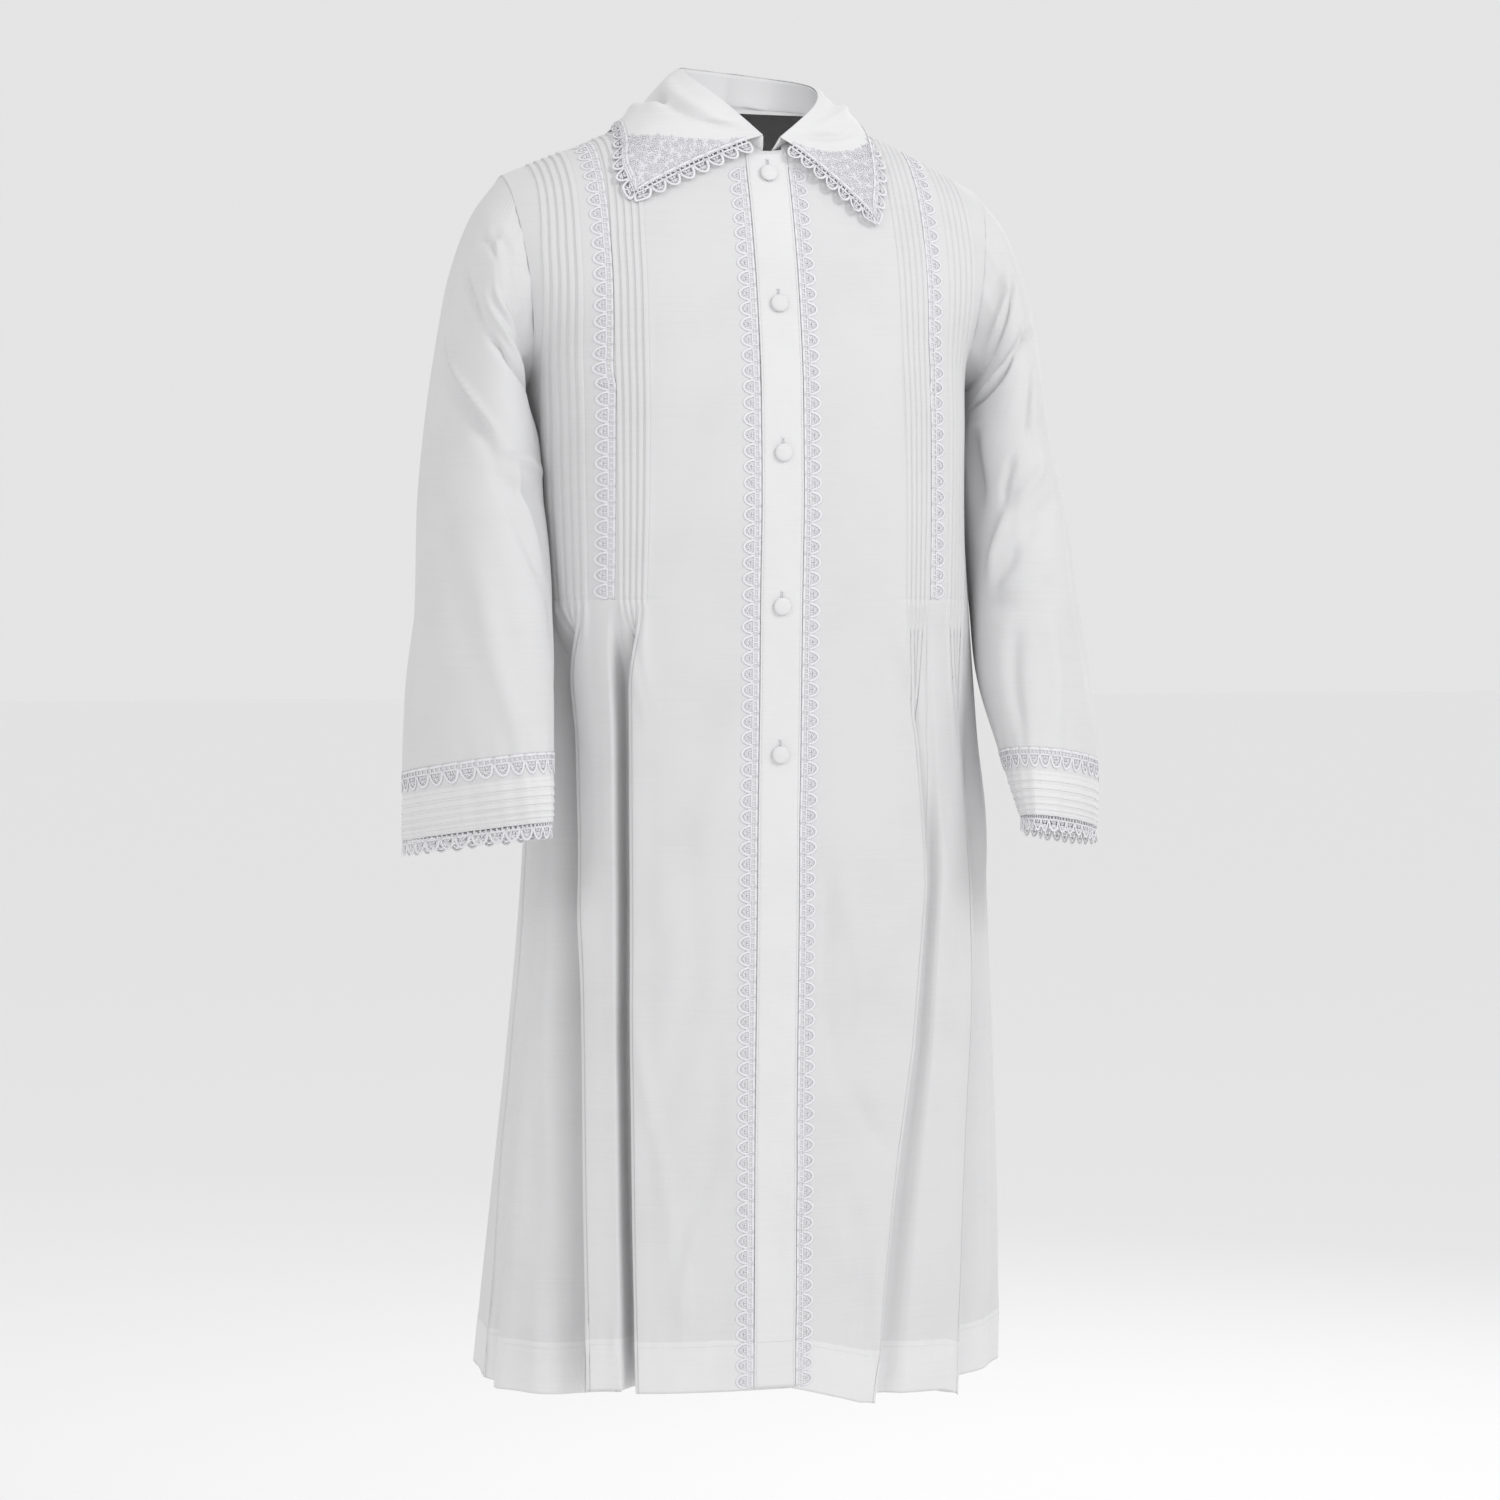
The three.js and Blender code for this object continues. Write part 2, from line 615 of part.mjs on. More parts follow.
// A point on a sleeve: u counts its rings from the armhole, and i goes round it as the armhole does.
class Sleeve {
  constructor(side, front, back) {
    this.side = side;
    this.ring = armhole(front, back);
    this.start = this.ring.map(({ edge }) => armholeAngle(edge));
  }
  // The angle round the sleeve of its i-th line at a ring.
  angle(u, i) {
    const even = (i / AROUND) * 2 * Math.PI;
    let started = this.start[i];
    while (started < even - Math.PI) started += 2 * Math.PI;
    return mix(started, even, clamp01(u / 4));
  }
  station(k, i) {
    if (k === 0) return this.ring[i].edge.clone();
    const c = SLEEVE[k - 1];
    const angle = this.angle(k, i);
    const turn = c.turn * degrees;
    const pitch = c.pitch * degrees;
    const out = new THREE.Vector3(Math.cos(turn), -Math.sin(turn), 0)
      .multiplyScalar(Math.cos(pitch))
      .setZ(Math.sin(pitch))
      .multiplyScalar(c.out * Math.cos(angle));
    const forward = new THREE.Vector3(-Math.sin(turn), -Math.cos(turn), 0)
      .multiplyScalar(c.front)
      .setZ(c.rise)
      .multiplyScalar(Math.sin(angle));
    const x = this.side < 0 ? c.rightX : c.leftX;
    const p = new THREE.Vector3(x, c.y, c.z).add(out).add(forward);
    return p.setX(p.x * this.side);
  }
  base(u, i) {
    const around = ((i % AROUND) + AROUND) % AROUND;
    const whole = Math.floor(around);
    const part = around - whole;
    const line = (n) => {
      const k = Math.min(SLEEVE.length - 1, Math.floor(u));
      const ring = (m) => this.station(Math.min(SLEEVE.length, Math.max(0, m)), n % AROUND);
      const [a, b, c, d] = [ring(k - 1), ring(k), ring(k + 1), ring(k + 2)];
      const t = u - k;
      return new THREE.Vector3(
        spline(a.x, b.x, c.x, d.x, t),
        spline(a.y, b.y, c.y, d.y, t),
        spline(a.z, b.z, c.z, d.z, t),
      );
    };
    return part ? line(whole).lerp(line(whole + 1), part) : line(whole);
  }
  facing(u, i) {
    const step = 0.03;
    const round = this.base(u, i + 0.5).sub(this.base(u, i - 0.5));
    const down = this.base(Math.min(SLEEVE.length, u + step), i).sub(
      this.base(Math.max(0, u - step), i),
    );
    const n = round.cross(down).normalize().multiplyScalar(this.side);
    if (u > 0 || !Number.isInteger(i)) return n;
    // At the seam the sleeve faces as the panel does, but down and inwards at the underarm.
    const { facing, v } = this.ring[i % AROUND];
    const underarm = new THREE.Vector3(-0.5 * this.side, 0, -1);
    return underarm.lerp(facing, smooth((v - UNDERARM) / 2.2)).normalize();
  }
}

// The place on a sleeve a given distance above the end of its cloth.
const aboveCuff = (distance) => SLEEVE.length - distance / CUFF_LENGTH;

function sleeve(name, form) {
  const wall = new Wall();
  const rings = [0, 0.5, 1, 2, 3, 4, 5, 6, 7, 8].map((u) => ({ u, raised: 0 }));
  for (let k = TUCKS; k > 0; k--) {
    rings.push({ u: aboveCuff(CUFF_HEM + k * CUFF_TUCK - TUCK_STEP), raised: 0 });
    rings.push({ u: aboveCuff(CUFF_HEM + (k - 1) * CUFF_TUCK), raised: CUFF_TUCK_HEIGHT });
  }
  rings.push({ u: aboveCuff(CUFF_HEM - TUCK_STEP), raised: 0 }, { u: SLEEVE.length, raised: 0 });
  const rows = rings.map(({ u, raised }) =>
    Array.from({ length: AROUND }, (_, i) => {
      const base = form.base(u, i);
      const facing = form.facing(u, i);
      return wall.vertex(
        base.clone().addScaledVector(facing, raised),
        base.clone().addScaledVector(facing, -CLOTH),
      );
    }),
  );
  add(name, wall.grid(rows, true));
}
const sleeves = {
  right: new Sleeve(-1, frontRight, backRight),
  left: new Sleeve(1, frontLeft, backLeft),
};
sleeve("sleeve_right", sleeves.right);
sleeve("sleeve_left", sleeves.left);

// ---------------------------------------------------------------- lace strips
// A strip of lace: place(along, across) gives a point and the way it faces, across the width from the
// straight edge. points is how many edges make up one scallop.
function laceStrip(name, scallops, points, place, closed = false) {
  const wall = new Wall();
  const vertex = (along, across) => {
    const { point, facing } = place(along, across);
    return wall.vertex(point, point.clone().addScaledVector(facing, -LACE));
  };
  const straight = [];
  const scalloped = [];
  for (let i = 0; i <= scallops; i++) {
    straight.push(vertex(closed ? i % scallops : i, 0));
    for (let k = 0; k < (i < scallops ? points : 1); k++) {
      const reach = 1 - (1 - Math.sin((k / points) * Math.PI)) ** 1.5;
      const along = i + k / points;
      const across = LACE_WIDTH - SCALLOP_DEPTH * (1 - reach);
      scalloped.push(vertex(closed ? along % scallops : along, across));
    }
  }
  const turn = Math.ceil(points / 2);
  for (let i = 0; i < scallops; i++) {
    const edge = scalloped.slice(i * points, i * points + points + 1);
    for (let k = 0; k < points; k++)
      wall.triangle(k < turn ? straight[i] : straight[i + 1], edge[k], edge[k + 1]);
    wall.triangle(straight[i], edge[turn], straight[i + 1]);
  }
  add(name, wall, laceThread);
  return wall;
}

// Lace laid down a front, from one section of it to a height, its scallops pointing away from the centre.
function frontLace(name, panel, from, top, bottom) {
  const ground = panel.side < 0 ? frontGround.right : frontGround.left;
  const middle = from + LACE_WIDTH / 2;
  const end = panel.sectionAt(middle, bottom);
  const steps = 300;
  const path = [{ v: top, length: 0 }];
  let here = panel.point(top, panel.shareAt(top, middle));
  for (let n = 1; n <= steps; n++) {
    const v = mix(top, end, n / steps);
    const next = panel.point(v, panel.shareAt(v, middle));
    path.push({ v, length: path[n - 1].length + next.distanceTo(here) });
    here = next;
  }
  const total = path[steps].length;
  const scallops = Math.round(total / SCALLOP);
  return laceStrip(name, scallops, 2, (along, across) => {
    const length = (along / scallops) * total;
    const n = Math.max(1, path.findIndex((p) => p.length >= length - 1e-6));
    const t = (length - path[n - 1].length) / (path[n].length - path[n - 1].length);
    const v = mix(path[n - 1].v, path[n].v, t);
    const s = panel.shareAt(v, from + across);
    const facing = panel.facing(v, s);
    const point = ground.lay(panel.point(v, s), facing, LACE_LAY_GAP + LACE);
    return { point, facing };
  });
}
const HEM = FRONT[0].outerZ + 1; // the band and its lace end just above the edge of the fronts
const BAND_LACE_TOP = 11.3; // the section at which the lace beside the band starts
const TUCK_LACE_TOP = 14.6;
const frontGround = { right: new Ground(fronts.right), left: new Ground(fronts.left) };
const strips = [
  frontLace("band_lace_right", frontRight, -BAND_FROM + SEAM_GAP, BAND_LACE_TOP, HEM),
  frontLace("band_lace_left", frontLeft, BAND_TO + SEAM_GAP, BAND_LACE_TOP, HEM),
  frontLace("tuck_lace_right", frontRight, LACE_FROM + SEAM_GAP, TUCK_LACE_TOP, TUCKS_END),
  frontLace("tuck_lace_left", frontLeft, LACE_FROM + SEAM_GAP, TUCK_LACE_TOP, TUCKS_END),
];

// Lace round a sleeve: laid on it above the tucks, or hanging from its edge.
function sleeveLace(name, form, topAbove, lift) {
  laceStrip(
    name,
    CUFF_SCALLOPS,
    3,
    (along, across) => {
      const i = ((along / CUFF_SCALLOPS) * AROUND) % AROUND;
      const u = aboveCuff(topAbove - across);
      const edge = Math.min(u, SLEEVE.length);
      const facing = form.facing(edge, i);
      const point = form.base(edge, i);
      point.z -= Math.max(0, u - edge) * CUFF_LENGTH;
      return { point: point.addScaledVector(facing, lift), facing };
    },
    true,
  );
}
const LAID_LACE_TOP = CUFF_HEM + TUCKS * CUFF_TUCK + CUFF_LACE_GAP + LACE_WIDTH;
for (const [side, form] of Object.entries(sleeves)) {
  sleeveLace(`sleeve_lace_${side}`, form, LAID_LACE_TOP, CUFF_LACE_LIFT + LACE);
  sleeveLace(`cuff_lace_${side}`, form, -SEAM_GAP, -0.2);
}

// ---------------------------------------------------------------- button band and buttons
const band = new Wall();
const bandHeights = panelSections
  .map((v) => frontLeft.section(v).innerZ)
  .filter((z) => z > HEM + 5 && z < BAND_TOP - 5);
band.grid(
  [HEM, ...bandHeights, BAND_TOP].map((height) =>
    [BAND_FROM, 0, BAND_TO].map((x) => {
      const z = height === BAND_TOP && x !== 0 ? height + BAND_TOP_RISE : height;
      const panel = x < 0 ? frontRight : frontLeft;
      const v = panel.sectionAt(Math.abs(x), z);
      const s = panel.shareAt(v, Math.abs(x));
      return band.vertex(panel.point(v, s, LAY_GAP + CLOTH), panel.point(v, s, LAY_GAP));
    }),
  ),
);
add("button_band", band);

// A covered button: a shallow dome with a rolled edge, turned about its own axis.
function buttonShape() {
  const rim = BUTTON_HEIGHT * 0.35;
  const profile = [
    [0, 0],
    [BUTTON_RADIUS * 0.9, 0],
    [BUTTON_RADIUS, rim],
    [BUTTON_RADIUS * 0.86, BUTTON_HEIGHT * 0.78],
    [BUTTON_RADIUS * 0.5, BUTTON_HEIGHT * 0.97],
    [0, BUTTON_HEIGHT],
  ];
  return new THREE.LatheGeometry(profile.map(([r, y]) => new THREE.Vector2(r, y)), 12);
}
const bandGround = new Ground(band);
BUTTON_HEIGHTS.forEach((z, i) => {
  const mesh = add(`button_${i + 1}`, buttonShape(), covered);
  const on = bandGround.nearest(frontRight.at(-BUTTON_ACROSS, z, CLOTH));
  const facing = on.up.setX(0).normalize();
  mesh.position.copy(on.point).addScaledVector(facing, LAY_GAP);
  mesh.quaternion.setFromUnitVectors(new THREE.Vector3(0, 1, 0), facing);
});

// ---------------------------------------------------------------- collar
const LAST = COLLAR.length - 1;
const bodyGround = new Ground(fronts.right, fronts.left, back, band, ...strips);

// A point of the collar's fold, on one side at a place round the neck. The fold is turned a little.
function foldPoint(side, a) {
  const c = between(COLLAR, a);
  return new THREE.Vector3(side * c.foldX, c.foldY, c.foldZ)
    .applyAxisAngle(new THREE.Vector3(0, 0, 1), COLLAR_TURN * degrees)
    .applyAxisAngle(new THREE.Vector3(0, 1, 0), COLLAR_TILT * degrees);
}

// The collar's outer edge, where it lies on the body.
function collarEdge(side, a) {
  const word = side < 0 ? "right" : "left";
  const [frontPanel, backPanel] = side < 0 ? [frontRight, backRight] : [frontLeft, backLeft];
  const place = (k) => {
    const c = COLLAR[Math.abs(k) > LAST ? 2 * LAST - k : Math.max(0, k)];
    const x = c[`${word}X`];
    const p =
      c.on === "seam"
        ? frontPanel.point(SHOULDER, frontPanel.shareAt(SHOULDER, x), COLLAR_CLEAR)
        : (c.on === "front" ? frontPanel : backPanel).at(Math.max(1, x), c[`${word}Z`], COLLAR_CLEAR);
    if (x === 0) p.x = 0;
    if (k > LAST) p.x = -p.x;
    return p;
  };
  const i = Math.min(LAST - 1, Math.floor(a));
  const [p, q, r, t] = [place(i - 1), place(i), place(i + 1), place(i + 2)];
  return new THREE.Vector3(
    spline(p.x, q.x, r.x, t.x, a - i),
    spline(p.y, q.y, r.y, t.y, a - i),
    spline(p.z, q.z, r.z, t.z, a - i),
  );
}

// The fall as a grid of points on one side: columns go round the neck from its front edge to centre back,
// and rows from the fold down to the outer edge. The first columns make the lace corner.
const CORNER_COLUMNS = 5;
const REST_COLUMNS = 10;
const DOWN_FALL = [0, 0.1, 0.26, 0.46, 0.68, 0.86, 1];
const FALL_COLUMNS = CORNER_COLUMNS + REST_COLUMNS;
function fallPlace(column, b) {
  const corner = COLLAR_CORNER_REACH * mix(0.2, 1, b);
  if (column <= CORNER_COLUMNS) return (corner * column) / CORNER_COLUMNS;
  return mix(corner, LAST, (column - CORNER_COLUMNS) / REST_COLUMNS);
}
function fallPoint(side, column, b) {
  const a = fallPlace(column, b);
  const fold = foldPoint(side, a);
  fold.z += CLOTH + LAY_GAP;
  const edge = collarEdge(side, a);
  const away = new THREE.Vector3(edge.x - fold.x, edge.y - fold.y, 0).normalize();
  const p = fold.clone().lerp(edge, b);
  const arch = COLLAR_ROLL * 4 * b * (1 - b);
  p.z += arch * 0.8;
  p.addScaledVector(away, arch * 0.6 + COLLAR_FOLD * Math.min(1, b * 10));
  return b > 0.2 ? bodyGround.clear(p, COLLAR_CLEAR) : p;
}
const upright = new THREE.Vector3(0, 0, 1);
function fallGrid(side) {
  const columns = Array.from({ length: FALL_COLUMNS + 1 }, (_, i) => i);
  const points = columns.map((i) => DOWN_FALL.map((b) => fallPoint(side, i, b)));
  // Between two columns the fall stays as clear of the body as it does at them.
  for (let j = 3; j < DOWN_FALL.length; j++)
    for (let i = 0; i < FALL_COLUMNS; i++) {
      const [p, q] = [points[i][j], points[i + 1][j]];
      const middle = p.clone().lerp(q, 0.5);
      const lift = bodyGround.clear(middle.clone(), COLLAR_CLEAR).sub(middle);
      p.add(lift);
      q.add(i + 1 === FALL_COLUMNS ? lift.setX(0) : lift);
    }
  const pick = (i, j) => points[Math.min(FALL_COLUMNS, Math.max(0, i))][j];
  const facings = columns.map((i) =>
    DOWN_FALL.map((b, j) => {
      if (b === 0) return upright.clone();
      const round = pick(i + 1, j).clone().sub(pick(i - 1, j));
      const down = pick(i, Math.min(DOWN_FALL.length - 1, j + 1)).clone().sub(pick(i, j - 1));
      const n = round.cross(down).normalize().multiplyScalar(-side);
      return i === FALL_COLUMNS ? n.setX(0).normalize() : n;
    }),
  );
  return { points, facings };
}
const falls = { right: fallGrid(-1), left: fallGrid(1) };
const inColumnOrder = (side, rows) => (side === "left" ? rows : [...rows].reverse());

const fall = new Wall();
for (const [side, { points, facings }] of Object.entries(falls))
  fall.grid(
    inColumnOrder(
      side,
      points.map((column, i) =>
        column.map((p, j) => fall.vertex(p, p.clone().addScaledVector(facings[i][j], -CLOTH))),
      ),
    ),
  );
add("collar", fall);

// The stand joins the neckline to the fold, inside the fall.
const stand = new Wall();
for (const side of [-1, 1]) {
  const [frontPanel, backPanel] = side < 0 ? [frontRight, backRight] : [frontLeft, backLeft];
  const neckline = [
    ...NECKLINE_SECTIONS.map((v) => ({ panel: frontPanel, v, a: v - NECK_FRONT })),
    ...[...NECKLINE_SECTIONS].reverse().map((v) => ({ panel: backPanel, v, a: LAST + NECK_FRONT - v })),
  ].filter(({ panel, v }) => panel.outward > 0 || v < SHOULDER);
  const columns = neckline.map(({ panel, v, a }) => {
    const low = panel.point(v, 0).add(new THREE.Vector3(0, 0, LAY_GAP));
    const high = foldPoint(side, a).sub(new THREE.Vector3(0, 0, 2 * LAY_GAP));
    const out = new THREE.Vector3(low.x, low.y, 0).normalize();
    if (a === LAST) out.set(0, 1, 0);
    return [low, low.clone().lerp(high, 0.5), high].map((p) =>
      stand.vertex(p, p.clone().addScaledVector(out, -CLOTH)),
    );
  });
  stand.grid(side > 0 ? columns : columns.reverse());
}
add("collar_stand", stand);

// The lace corner of the collar, a wedge laid on the fall along its front edge.
for (const [side, { points, facings }] of Object.entries(falls)) {
  const corner = new Wall();
  const columns = points.slice(0, CORNER_COLUMNS + 1).map((column, i) =>
    column.slice(1).map((p, j) => {
      const facing = facings[i][j + 1];
      const low = p.clone().addScaledVector(facing, LAY_GAP);
      return corner.vertex(low.clone().addScaledVector(facing, LACE), low);
    }),
  );
  add(`collar_corner_${side}`, corner.grid(inColumnOrder(side, columns)), laceThread);
}

// The lace sewn under the collar's front and outer edges, one strip from each side up to centre back.
for (const [side, { points, facings }] of Object.entries(falls)) {
  const bottom = DOWN_FALL.length - 1;
  const path = [];
  for (let j = 1; j < bottom; j++)
    path.push({ edge: points[0][j], within: points[1][j], facing: facings[0][j] });
  for (let i = 0; i <= FALL_COLUMNS; i++)
    path.push({ edge: points[i][bottom], within: points[i][bottom - 1], facing: facings[i][bottom] });
  let total = 0;
  path.forEach((p, n) => {
    if (n) total += p.edge.distanceTo(path[n - 1].edge);
    p.length = total;
    p.out = p.edge.clone().sub(p.within).normalize();
  });
  const scallops = Math.round(total / SCALLOP);
  const near = (length) => {
    const n = Math.max(1, path.findIndex((p) => p.length >= Math.min(length, total) - 1e-6));
    const [p, q] = [path[n - 1], path[n]];
    const t = clamp01((length - p.length) / (q.length - p.length));
    return {
      edge: p.edge.clone().lerp(q.edge, t),
      out: p.out.clone().lerp(q.out, t),
      facing: p.facing.clone().lerp(q.facing, t),
    };
  };
  laceStrip(`collar_lace_${side}`, scallops, 3, (along, across) => {
    const length = (along / scallops) * total;
    const { edge, facing } = near(length);
    const out = near(length - LACE_CORNER).out.add(near(length + LACE_CORNER).out);
    facing.normalize();
    out.addScaledVector(facing, -out.dot(facing)).normalize();
    const point = edge.addScaledVector(out, across - LACE_UNDER);
    point.addScaledVector(facing, -CLOTH - LACE_LAY_GAP);
    if (across > LACE_UNDER) bodyGround.clear(point, COLLAR_CLEAR - CLOTH - LACE_LAY_GAP);
    const sideways = side === "left" ? 1 : -1;
    if (point.x * sideways < SEAM_GAP) point.x = SEAM_GAP * sideways;
    return { point, facing: along > scallops - 2 ? facing.setX(0).normalize() : facing };
  });
}

export default kittel;
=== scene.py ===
import math

import bpy
import numpy as np
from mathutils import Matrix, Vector
from mathutils.bvhtree import BVHTree


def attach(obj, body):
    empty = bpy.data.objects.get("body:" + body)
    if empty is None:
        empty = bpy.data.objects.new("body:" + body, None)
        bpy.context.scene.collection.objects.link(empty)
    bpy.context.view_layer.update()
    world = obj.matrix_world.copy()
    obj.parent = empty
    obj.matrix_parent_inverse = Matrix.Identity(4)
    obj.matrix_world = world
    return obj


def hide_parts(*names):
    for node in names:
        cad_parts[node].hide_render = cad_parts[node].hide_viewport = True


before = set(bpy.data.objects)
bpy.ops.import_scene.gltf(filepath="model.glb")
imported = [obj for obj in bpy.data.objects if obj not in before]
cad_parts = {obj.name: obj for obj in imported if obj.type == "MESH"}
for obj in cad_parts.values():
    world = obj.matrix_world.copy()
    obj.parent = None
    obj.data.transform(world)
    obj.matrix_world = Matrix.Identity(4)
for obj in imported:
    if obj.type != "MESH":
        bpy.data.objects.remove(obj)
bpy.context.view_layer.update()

# ---------------------------------------------------------------- the two fronts
# Each front is one length of white cotton and polyester voile. Two groups of five pin tucks are
# stitched down it to the waist, where they open into two pleats, which hang nearly closed on the left
# front. The hem is turned up 45 mm and sewn. Lengths are in millimetres until a mesh is made of them.
MM = 0.001
VOILE = 0.35  # thickness of the cloth
SEAM_GAP = 0.4
LAY_GAP = 0.5
RIGHT_FRONT_EDGE = -13.4  # the wearer's right front passes the centre, under the band
LEFT_FRONT_EDGE = 14.2
TUCKS = 5
TUCK_HEIGHT = 1.15
TUCK_STEP = 0.6
TUCKS_END = -440
PLEAT_START = -443
PLEAT_FULL = {"Right": -522, "Left": -720}
PLEAT_DEPTH = {"Right": 1, "Left": 0.45}  # the left front's pleats hang nearly closed
GATHERED = {"Right": 62, "Left": 170}  # how far the let-out tucks show below their stitching
RIPPLE = 1.5  # how high they stand there
LET_GO = 34  # the tucks lie flat this far below their stitching
DIP_FROM = -850
HEM_EDGE = -1150
HEM_TURN = 45  # how high the hem is turned up
HEM_PUCKER = {"pitch": 17, "height": 1.7, "reach": 15}  # along its seam
UNDERARM = 7
NECK_FRONT = 12
SHOULDER = 15
UNDERARM_HEIGHT = -250
FRONT_ROWS = (190, 58)  # of cloth, up the skirt and up the chest


def table(columns, *rows):
    """Columns of numbers by name."""
    return dict(zip(columns.split(), np.array(rows, float).T))


FRONT = table(
    "outerZ innerZ innerX innerY outerRight outerLeft outerY sweep square",
    [-1150, -1150, 0, -106, 232, 252, 70, 90, 2.3],
    [-1000, -1000, 0, -108, 219, 250, 62, 90, 2.3],
    [-850, -850, 0, -113, 208, 243, 50, 90, 2.35],
    [-700, -700, 0, -119, 200, 234, 36, 90, 2.4],
    [-560, -560, 0, -124, 196, 221, 24, 90, 2.5],
    [-440, -440, 0, -129, 194, 209, 16, 90, 2.6],
    [-350, -350, 0, -134, 195, 203, 14, 90, 2.6],
    [-250, -250, 0, -131, 202, 204, 14, 90, 2.6],
    [-215, -212, 0, -126, 205, 205, -34, 62, 2.5],
    [-160, -150, 0, -113, 211, 211, -52, 58, 2.4],
    [-115, -95, 0, -97, 217, 217, -44, 56, 2.3],
    [-86, -58, 0, -83, 221, 221, -28, 52, 2.2],
    [-70, -38, 4, -75, 222, 222, -10, 45, 2.1],
    [-62, -18, 46, -54, 222, 222, 8, 35, 2],
    [-57, -2, 66, -28, 221, 221, 24, 25, 2],
    [-55, 4, 72, 0, 220, 220, 36, 10, 2],
)
TUCK_LINES = table(
    "z innerFrom innerTo outerFrom outerTo",
    [-440, 118, 142, 164, 189],
    [-300, 116, 144, 167, 196],
    [-130, 114, 145, 168, 202],
    [-10, 109, 140, 166, 197],
)
PLEATS = table(
    "z rightInner rightOuter leftInner leftOuter",
    [-1150, 121, 162, 94, 184],
    [-1000, 124, 163, 112, 188],
    [-850, 126, 164, 132, 192],
    [-700, 127, 166, 142, 194],
    [-560, 129, 170, 140, 194],
    [-440, 131, 180, 134, 186],
)
PLEAT_PATH = table(
    "along inward",
    [-13, 0], [-5, -0.8], [1, -1], [4.5, 1.5], [3, 7.5], [-6, 12],
    [-15, 16], [-17.5, 21], [-12, 25], [-2, 26], [11, 24],
)
# One tuck in section, as shares of the pitch across and of its height: flat cloth, the stitched base,
# the face and the fold, which turns under.
TUCK_PROFILE = table(
    "across height",
    [0.12, 0], [0.27, 0], [0.34, -0.16], [0.4, 0.4], [0.52, 0.76], [0.76, 0.92],
    [0.94, 1.02], [1.0, 0.96], [1.03, 0.56], [0.99, 0.06],
)
HEM_DIP = {
    "Right": {"fold": 2, "behind": 0, "second": 2, "side": 11},
    "Left": {"fold": 21, "behind": 14, "second": 25, "side": 4},
}
FLUTES = {
    "frontRight": [(0.42, 0.09, -5, -700), (0.83, 0.05, 8, -520), (0.94, 0.04, -6, -640)],
    "frontLeft": [(0.3, 0.1, -6, -600), (0.84, 0.05, 7, -540), (0.93, 0.03, -7, -560)],
    "backRight": [(0.16, 0.07, -13, -480), (0.45, 0.09, 12, -460), (0.7, 0.07, -12, -560),
                  (0.86, 0.05, 7, -620)],
    "backLeft": [(0.2, 0.08, 12, -470), (0.48, 0.08, -13, -500), (0.72, 0.06, 10, -540),
                 (0.88, 0.05, -7, -600)],
}


def mix(a, b, t):
    return a + (b - a) * t


def smooth(t):
    t = np.clip(t, 0, 1)
    return t * t * (3 - 2 * t)


def bell(off, width):
    """1 in the middle, falling to nothing on both sides."""
    return np.exp(-((off / width) ** 2))


def unit(vectors):
    return vectors / np.maximum(np.linalg.norm(vectors, axis=-1, keepdims=True), 1e-9)


def word_of(side):
    return "Right" if side < 0 else "Left"


def spline(a, b, c, d, t):
    """A smooth curve from b to c, where a comes before them and d after."""
    return b + 0.5 * t * (c - a + t * (2 * a - 5 * b + 4 * c - d + t * (3 * (b - c) + d - a)))


def between(values, at, first=0, last=None):
    """Values between the rows of a column, as a smooth curve that keeps to rows first to last."""
    last = len(values) - 1 if last is None else last
    i = np.clip(np.floor(at).astype(int), first, last - 1)
    t = at - i
    if values.ndim > 1:
        t = t[..., None]
    return spline(*(values[np.clip(i + k, first, last)] for k in (-1, 0, 1, 2)), t)


